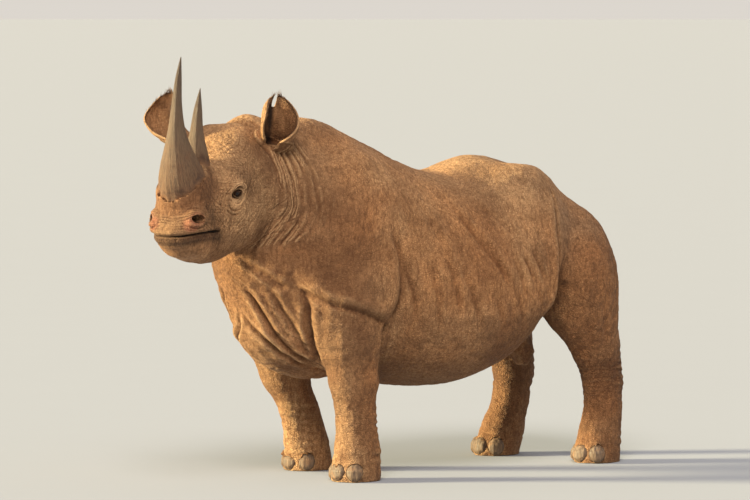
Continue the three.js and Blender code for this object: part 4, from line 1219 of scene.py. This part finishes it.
def horn_material():
    s = Shader("horn_fibre")
    grain = s.value("Grain").outputs["Vector"]
    rise = s.value("Rise").outputs["Fac"]
    above = s.value("Above").outputs["Fac"]
    fibre = s.noise(grain, 34, 6, 0.7)
    streak = s.noise(grain, 9, 5, 0.65)
    where = s.node("TexCoord").outputs["Object"]
    patch = s.noise(where, 16, 7, 0.7)
    crust = s.noise(where, 60, 6, 0.75)
    base = s.mix(s.range(rise, 0.15, 0.5, 0, 1), srgb(106, 76, 52), srgb(106, 84, 64))
    base = s.mix(s.range(rise, 0.5, 0.95, 0, 0.75), base, srgb(76, 64, 55))
    base = s.mix(s.range(streak, 0.42, 0.62, 0, 0.7), base, srgb(64, 46, 35))
    base = s.mix(s.range(fibre, 0.5, 0.7, 0, 0.6), base, srgb(158, 130, 96))
    base = s.mix(s.range(patch, 0.52, 0.68, 0, 0.5), base, srgb(108, 72, 47))
    # towards the skin the fibre turns to a rough brown crust with dark patches
    skirt = s.mix(s.range(patch, 0.42, 0.62, 0, 1), srgb(118, 82, 56), srgb(68, 45, 31))
    skirt = s.mix(s.range(crust, 0.5, 0.68, 0, 0.7), skirt, srgb(52, 36, 27))
    edge = s.math("ADD", above, s.range(patch, 0.3, 0.7, 0.22, -0.22))
    base = s.mix(s.range(edge, 0.08, 0.66, 0.92, 0), base, skirt)
    base = s.mix(s.range(edge, 0.0, 0.16, 0.85, 0), base, srgb(120, 84, 56))
    height = s.math("ADD", s.math("MULTIPLY", fibre, 0.9), s.math("MULTIPLY", streak, 0.6))
    height = s.math("ADD", height, s.math("MULTIPLY", crust, s.range(above, 0.05, 0.6, 1.6, 0.1)))
    rough = s.range(rise, 0.3, 0.9, 0.7, 0.36)
    return s.finish(base, rough, height, 0.005, 0.85, Specular_IOR_Level=0.45)


def nail_material():
    s = Shader("toenail")
    where = s.node("TexCoord").outputs["Object"]
    stretch = s.node("Mapping", Vector=where)
    stretch.inputs["Scale"].default_value = (1, 1, 0.16)
    fibre = s.noise(stretch.outputs[0], 130, 5)
    patch = s.noise(where, 26, 5)
    base = s.mix(s.range(fibre, 0.4, 0.65, 0, 1), srgb(84, 66, 52), srgb(118, 95, 74))
    base = s.mix(s.range(patch, 0.5, 0.7, 0, 0.5), base, srgb(146, 106, 72))
    return s.finish(base, s.range(patch, 0.3, 0.7, 0.5, 0.75), fibre, 0.003, 0.8, Specular_IOR_Level=0.4)


def eye_material():
    s = Shader("eyeball")
    polar = s.value("Polar").outputs["Fac"]
    where = s.node("TexCoord").outputs["Object"]
    veins = s.noise(where, 500, 5)
    iris = s.mix(s.range(veins, 0.4, 0.65, 0, 1), srgb(28, 16, 10), srgb(62, 36, 20))
    white = s.mix(s.range(veins, 0.5, 0.7, 0, 1), srgb(52, 38, 32), srgb(34, 20, 16))
    colour = s.mix(s.range(polar, 0.26, 0.34, 0, 1), srgb(6, 5, 5), iris)
    colour = s.mix(s.range(polar, 0.58, 0.68, 0, 1), colour, white)
    gloss = {"Specular_IOR_Level": 0.2, "Coat_Weight": 0.2, "Coat_Roughness": 0.03}
    return s.finish(colour, 0.08, veins, 0.0002, 0.2, **gloss)


def hair_material():
    s = Shader("bristle")
    where = s.node("TexCoord").outputs["Object"]
    shade = s.noise(where, 90, 3)
    tip = s.value("Tip").outputs["Fac"]
    base = s.mix(s.range(shade, 0.35, 0.65, 0, 1), srgb(36, 26, 20), srgb(78, 52, 34))
    base = s.mix(s.math("MULTIPLY", tip, 0.5), base, srgb(132, 84, 48))
    return s.finish(base, 0.55, shade, 0.0005, 0.3)


def floor_material():
    s = Shader("pale_floor")
    where = s.node("TexCoord").outputs["Object"]
    tone = s.noise(where, 1.4, 3)
    colour = s.mix(tone, (0.298, 0.318, 0.376), (0.304, 0.324, 0.382))
    return s.finish(colour, 0.9, s.noise(where, 60, 3), 0.001, 0.2)


# ------------------------------------------------------------------ horns
SKIRT = 0.06  # how far a horn's foot spreads, as a share of its half width
KNEE = 0.45  # the part of a horn's length below the place where its curve turns
BURIED = 0.45  # the part of a horn's height within which it comes out of the skin


def make_horn(name, material, ground):
    """A horn of matted fibre: flared and ragged at its root, smooth and worn towards its tip."""
    spec = HORNS[name]
    rings, sides = 150, 110

    def up(angle):
        return np.array((-math.sin(math.radians(angle)), 0, math.cos(math.radians(angle))))

    root = np.array(spec["root"], float)
    knee = root + up(spec["lean"]) * spec["length"] * KNEE
    tip = knee + up(spec["bend"]) * spec["length"] * (1 - KNEE)
    t = np.linspace(0, 1, rings + 1) ** 0.92
    centre = ((1 - t) ** 2)[:, None] * root + (2 * t * (1 - t))[:, None] * knee + (t**2)[:, None] * tip
    tangent = (2 * (1 - t))[:, None] * (knee - root) + (2 * t)[:, None] * (tip - knee)
    tangent /= np.linalg.norm(tangent, axis=1)[:, None]
    across = np.array((0, 1.0, 0))
    ahead = np.cross(across, tangent)
    width = np.maximum(curve(spec["flare"], t), 0.012)
    angle = np.linspace(0, 2 * np.pi, sides, endpoint=False)
    a, rise = np.meshgrid(angle, t)
    ring = np.stack([np.cos(a) * 2.6, np.sin(a) * 2.6, rise * 1.1], -1).reshape(-1, 3)
    rough = (1 - ramp(0.12, 0.6, rise)) * 0.8 + 0.2
    fibre = noise(ring * (3.2, 3.2, 1.2), 1.0, 71) + 0.6 * noise(ring * (8, 8, 1.6), 1.0, 72)
    growth = noise(np.stack([a.ravel() * 0.3, rise.ravel() * 34, a.ravel() * 0], 1), 1.0, 73)
    grow = (0.030 * fibre + 0.014 * growth).reshape(a.shape) * rough
    grow += 0.06 * bump(rise, 0.13, 0.05) * noise(ring * 1.3, 1.0, 74).reshape(a.shape)
    r = width[:, None] * (1 + grow)

    def wall(r):
        return (
            centre[:, None] + (spec["base"][0] * r * np.cos(a))[..., None] * across
            + (spec["base"][1] * r * np.sin(a))[..., None] * ahead[:, None]
        ).reshape(-1, 3)

    # where each line down the horn meets the skin, and how high above that its places are
    grid = from_head(wall(r)).reshape(rings + 1, sides, 3)
    foot = np.zeros(sides)
    for j in range(sides):
        for k in range(int(np.searchsorted(t, BURIED)), 0, -1):
            start, way = Vector(grid[k, j]), Vector(grid[k - 1, j] - grid[k, j])
            gap = ground.ray_cast(start, way, way.length)[3]
            if gap is not None:
                foot[j] = t[k] + (t[k - 1] - t[k]) * gap / way.length
                break
    for _ in range(5):
        foot = (foot + np.roll(foot, 1) + np.roll(foot, -1)) / 3
    above = (rise - foot) * spec["length"]
    # the foot spreads over the skin like a torn skirt
    torn = 0.75 + 0.5 * noise(ring * (1.5, 1.5, 0.3), 1.0, 75).reshape(a.shape)
    r = r * (1 + SKIRT * torn * np.exp(-np.maximum(above, 0) / 22))
    points = np.concatenate([wall(r), [root], [tip]])
    horn = new_object(f"{name}_fibre", from_head(points), tube_faces(rings + 1, sides))
    turned_out(horn)
    grain = np.concatenate([ring, [[0, 0, 0], [0, 0, 1.1]]])
    layer = horn.data.attributes.new("Grain", "FLOAT_VECTOR", "POINT")
    layer.data.foreach_set("vector", grain.astype(np.float32).ravel())
    set_value(horn.data, "Rise", np.concatenate([rise.ravel(), [0, 1]]))
    set_value(horn.data, "Above", np.concatenate([above.ravel() / 100, [0, 2]]))
    smooth_all(horn.data)
    horn.data.materials.append(material)
    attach(horn, "root")
    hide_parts(name)


# ------------------------------------------------------------------ eyes and nails
def make_eye(side, s, material):
    """A glossy ball with a slightly raised cornea, iris and pupil."""
    forward, out, up = eye_axes(s)
    gaze = out + 0.12 * forward
    gaze /= np.linalg.norm(gaze)
    side_axis = np.cross(up, gaze)
    side_axis /= np.linalg.norm(side_axis)
    rings, sides = 40, 56
    polar = np.linspace(0, np.pi, rings + 1)[1:-1]
    turn = np.linspace(0, 2 * np.pi, sides, endpoint=False)
    p, a = np.meshgrid(polar, turn, indexing="ij")
    radius = EYE["radius"] - 0.6 + 1.3 * ramp(0.66, 0.3, p)
    local = np.stack([radius * np.sin(p) * np.cos(a), radius * np.sin(p) * np.sin(a), radius * np.cos(p)], -1)
    ends = np.array([(0, 0, EYE["radius"] + 0.7), (0, 0, 0.6 - EYE["radius"])])
    points = np.concatenate([local.reshape(-1, 3), ends])
    points = points @ np.stack([side_axis, np.cross(gaze, side_axis), gaze])
    points += on_side(EYE["at"], s)
    eye = new_object(f"eyeball_{side}", from_head(points), tube_faces(*p.shape))
    turned_out(eye)
    set_value(eye.data, "Polar", np.concatenate([p.ravel(), [0, np.pi]]))
    smooth_all(eye.data)
    eye.data.materials.append(material)
    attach(eye, "root")
    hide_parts(f"eye_{side}")


def make_nail(node, material):
    """A toenail: the solid's shape rounded and finely ridged."""
    points, faces = welded(NODES[node])
    nail = new_object(node.replace("nail", "toenail"), points, faces)
    applied(nail, "even", "REMESH", mode="VOXEL", voxel_size=0.0035, adaptivity=0)
    net = Net(nail.data)
    world = net.relax(points_of(nail.data), 10)
    set_points(nail.data, world)
    trunk = in_trunk(world)
    ridge = noise(trunk * (1, 1, 0.12), 7, 81) + 0.8 * noise(trunk * (0.1, 0.1, 1), 9, 82)
    world = world + (0.9 * ridge * MM)[:, None] * normals_of(nail.data)
    set_points(nail.data, world)
    smooth_all(nail.data)
    nail.data.materials.append(material)
    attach(nail, "root")
    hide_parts(node)


# ------------------------------------------------------------------ tufts
def make_tufts(name, roots, bends, tips, widths, places, material):
    """Solid three-sided bristles that taper from root to tip. places are their spots on the bake map."""
    count, rings = len(roots), 5
    t = np.linspace(0, 1, rings)[None, :, None]
    line = (1 - t) ** 2 * roots[:, None] + 2 * t * (1 - t) * bends[:, None] + t**2 * tips[:, None]
    way = tips - roots
    way /= np.linalg.norm(way, axis=1)[:, None]
    aside = np.cross(way, np.random.default_rng(3).normal(size=way.shape))
    aside /= np.linalg.norm(aside, axis=1)[:, None]
    other = np.cross(way, aside)
    width = widths[:, None, None] * (1 - 0.9 * t**1.5)
    corners = [
        line + width * (math.cos(q) * aside + math.sin(q) * other)[:, None]
        for q in (0, 2 * math.pi / 3, 4 * math.pi / 3)
    ]
    points = np.stack(corners, 2).reshape(-1, 3)
    own = np.arange(rings * 3).reshape(rings, 3)
    faces = []
    for n in range(rings - 1):
        for k in range(3):
            a, b, c, d = own[n, k], own[n, (k + 1) % 3], own[n + 1, (k + 1) % 3], own[n + 1, k]
            faces += [(a, b, c), (a, c, d)]
    faces += [tuple(own[0, ::-1]), tuple(own[-1])]
    faces = (np.arange(count)[:, None, None] * rings * 3 + np.array(faces)[None]).reshape(-1, 3)
    tufts = new_object(name, points * MM, faces)
    turned_out(tufts)
    mesh = tufts.data
    set_value(mesh, "Tip", np.tile(np.repeat(np.linspace(0, 1, rings), 3), count))
    corner = np.array([(n / (rings - 1), k / 2) for n in range(rings) for k in range(3)]) * 0.003
    spots = (places[:, None] + corner[None]).reshape(-1, 2)
    layer = mesh.uv_layers.new(name="OFBake")
    order = np.empty(len(mesh.loops), np.int32)
    mesh.loops.foreach_get("vertex_index", order)
    layer.data.foreach_set("uv", spots[order].astype(np.float32).ravel())
    mesh.materials.append(material)
    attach(tufts, "root")


def to_world_mm(head_points):
    return from_head(head_points) / MM


FRINGE_EDGE = 0.36  # the part of a fringe on each edge of its ear; the rest goes over the top


def ear_fringe(side, material):
    """Short dark hair along the rim of an ear, longest at its tip."""
    random = np.random.default_rng(11 if side == "left" else 12)
    turn, foot = ear_frame(side)
    count = 190
    # places along the rim: up one edge, over the top and down the other
    q = np.linspace(0, 1, count) + random.uniform(-0.002, 0.002, count)
    first, last = q < FRINGE_EDGE, q > 1 - FRINGE_EDGE
    edge_t = np.where(first | last, 0.3 + 0.7 * np.minimum(q, 1 - q) / FRINGE_EDGE, 1.0)
    edge_v = np.where(first, -1.0, np.where(last, 1.0, (2 * q - 1) / (1 - 2 * FRINGE_EDGE)))
    rim = ear_sheet(side, np.clip(edge_t, 0, 1), np.clip(edge_v, -1, 1))
    inner = ear_sheet(side, np.clip(edge_t - 0.05, 0, 1), np.clip(edge_v * 0.93, -1, 1))
    out = rim - inner
    out /= np.linalg.norm(out, axis=1)[:, None]
    long = (9 + 13 * ramp(0.5, 1, edge_t)) * random.uniform(0.6, 1.15, count)
    if side == "left":
        long *= ramp(0.6, 1, np.abs(edge_v - NOTCH["at"]) / NOTCH["half"])
    stray = random.normal(scale=0.28, size=(count, 3))
    roots = rim - out * 4
    tips = rim + (out + stray) * long[:, None]
    bends = rim + (out + 0.2 * stray) * long[:, None] * 0.5
    moved = [to_world_mm(p @ turn.T + foot) for p in (roots, bends, tips)]
    places = np.stack([0.05 + 0.9 * q, np.full(count, 0.3 if side == "left" else 0.6)], 1)
    make_tufts(f"ear_fringe_{side}", *moved, random.uniform(0.9, 1.6, count), places, material)


def lashes(side, s, material):
    random = np.random.default_rng(21)
    forward, out, up = eye_axes(s)
    count = 26
    a = np.radians(np.linspace(25, 150, count))
    margin = np.stack([21 * np.cos(a), 11.5 * np.sin(a)], 1)
    r = np.hypot(*margin.T)
    high = np.sqrt((EYE["radius"] + 4.0) ** 2 - np.minimum(r, 23) ** 2)
    roots = margin[:, :1] * forward + high[:, None] * out + margin[:, 1:] * up
    long = random.uniform(9, 14, count)[:, None]
    bends = roots + long * (0.55 * out + 0.05 * up)
    tips = roots + long * (0.85 * out - 0.30 * up + random.normal(scale=0.12, size=(count, 3)))
    moved = [to_world_mm(p + on_side(EYE["at"], s)) for p in (roots - 2 * out, bends, tips)]
    places = np.stack([0.1 + 0.3 * np.linspace(0, 1, count), np.full(count, 0.1 * (2 + s))], 1)
    make_tufts(f"lashes_{side}", *moved, np.full(count, 0.55), places, material)


TAIL = [(-1075, 0, 1110), (-1150, 0, 1085), (-1202, 0, 990), (-1214, 0, 860), (-1206, 0, 720),
        (-1196, 0, 590)]
BRUSH_START = 0.74  # where along the tail its bristles begin
BRUSH_LOW = 470  # the lowest that they reach


def tail_brush(material):
    """Stiff bristles down both edges of the tail's end, and a tuft at its tip."""
    random = np.random.default_rng(31)
    count = 420
    line = np.array(TAIL, float)
    down_brush = np.sqrt(random.uniform(0, 1, count))
    q = BRUSH_START + (1 - BRUSH_START) * down_brush
    place = np.linspace(0, 1, len(line))
    root = np.stack([curve(list(zip(place, line[:, i])), q) for i in range(3)], 1)
    s = random.choice((-1, 1), count)
    ahead = random.normal(scale=0.35, size=count)
    out = np.stack([ahead, s, np.zeros(count)], 1)
    long = random.uniform(70, 120, count)[:, None] * (0.7 + 0.4 * ramp(0, 1, down_brush))[:, None]
    down = np.array((0, 0, -1.0))
    roots = root + 4 * out
    bends = roots + long * (0.5 * down + 0.22 * out)
    tips = roots + long * (1.0 * down + 0.24 * out + random.normal(scale=0.06, size=(count, 3)))
    tips[:, 2] = np.maximum(tips[:, 2], BRUSH_LOW)
    moved = [p + np.array(ORIGIN_M) / MM for p in (roots, bends, tips)]
    places = np.stack([0.5 + 0.4 * s * (0.1 + 0.9 * (q - BRUSH_START)), 0.05 + 0.9 * down_brush], 1)
    make_tufts("tail_brush", *moved, random.uniform(1.0, 1.9, count), places, material)


# ------------------------------------------------------------------ camera, lights and floor
CAMERA = {
    "azimuth": 142, "elevation": 3, "distance_m": 20, "aim": (0, 0, 983), "focal_px": 4520, "width_px": 750,
}


def make_camera():
    a, e = math.radians(CAMERA["azimuth"]), math.radians(CAMERA["elevation"])
    back = Vector((math.sin(a) * math.cos(e), -math.cos(a) * math.cos(e), math.sin(e)))
    aim = ORIGIN_M + Vector(CAMERA["aim"]) * MM
    camera = bpy.data.objects.new("camera", bpy.data.cameras.new("camera"))
    camera.data.sensor_width = 36
    camera.data.lens = 36 * CAMERA["focal_px"] / CAMERA["width_px"]
    camera.data.clip_end = 3000
    camera.location = aim + back * CAMERA["distance_m"]
    camera.rotation_mode = "QUATERNION"
    camera.rotation_quaternion = (-back).to_track_quat("-Z", "Y")
    bpy.context.scene.collection.objects.link(camera)
    bpy.context.scene.camera = camera


def add_sun(name, toward, strength, colour, spread):
    """A soft light that shines along a direction."""
    light = bpy.data.lights.new(name, "SUN")
    light.energy = strength
    light.color = colour
    light.angle = math.radians(spread)
    lamp = bpy.data.objects.new(name, light)
    lamp.rotation_mode = "QUATERNION"
    lamp.rotation_quaternion = Vector(toward).to_track_quat("-Z", "Y")
    bpy.context.scene.collection.objects.link(lamp)


def make_stage():
    world = bpy.data.worlds.new("studio")
    bpy.context.scene.world = world
    world.use_nodes = True
    tree = world.node_tree
    back = tree.nodes["Background"]
    back.inputs["Color"].default_value = (1.0, 0.94, 0.86, 1)
    # the sky is a little brighter along the horizon than above it
    where = tree.nodes.new("ShaderNodeTexCoord")
    height = tree.nodes.new("ShaderNodeSeparateXYZ")
    glow = tree.nodes.new("ShaderNodeMapRange")
    tree.links.new(where.outputs["Generated"], height.inputs[0])
    tree.links.new(height.outputs["Z"], glow.inputs["Value"])
    for key, number in (("From Min", 0.12), ("From Max", 0.3), ("To Min", 0.72), ("To Max", 0.56)):
        glow.inputs[key].default_value = number
    tree.links.new(glow.outputs["Result"], back.inputs["Strength"])
    # a soft key from above the camera's left, and a low warm light that grazes the edges on that side
    add_sun("key", (-0.47, -0.55, -0.69), 3.0, (1.0, 0.91, 0.78), 25)
    add_sun("rim", (-0.80, 0.55, -0.25), 12.0, (1.0, 0.88, 0.52), 10)
    bpy.context.scene.view_settings.view_transform = "Standard"
    n, radius = 96, 1500
    angle = np.linspace(0, 2 * np.pi, n, endpoint=False)
    ring = np.stack([radius * np.cos(angle), radius * np.sin(angle), np.zeros(n)], 1)
    points = np.concatenate([ring, [[0, 0, 0]]])
    faces = np.array([(i, (i + 1) % n, n) for i in range(n)])
    floor = new_object("floor", points, faces)
    floor.data.materials.append(floor_material())


# ------------------------------------------------------------------ the whole
make_camera()
make_stage()
skin = make_skin()
skin.data.materials.clear()
skin.data.materials.append(hide_material())
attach(skin, "root")
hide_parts("head", "neck", "torso", "tail", "ear_left", "ear_right", *LEGS)
horn = horn_material()
ground = ray_tree(skin.data)
for name in HORNS:
    make_horn(name, horn, ground)
ball, bristle, keratin = eye_material(), hair_material(), nail_material()
for side, s in SIDES:
    make_eye(side, s, ball)
    ear_fringe(side, bristle)
    lashes(side, s, bristle)
for node in sorted(NODES):
    if node.startswith("nail"):
        make_nail(node, keratin)
tail_brush(bristle)
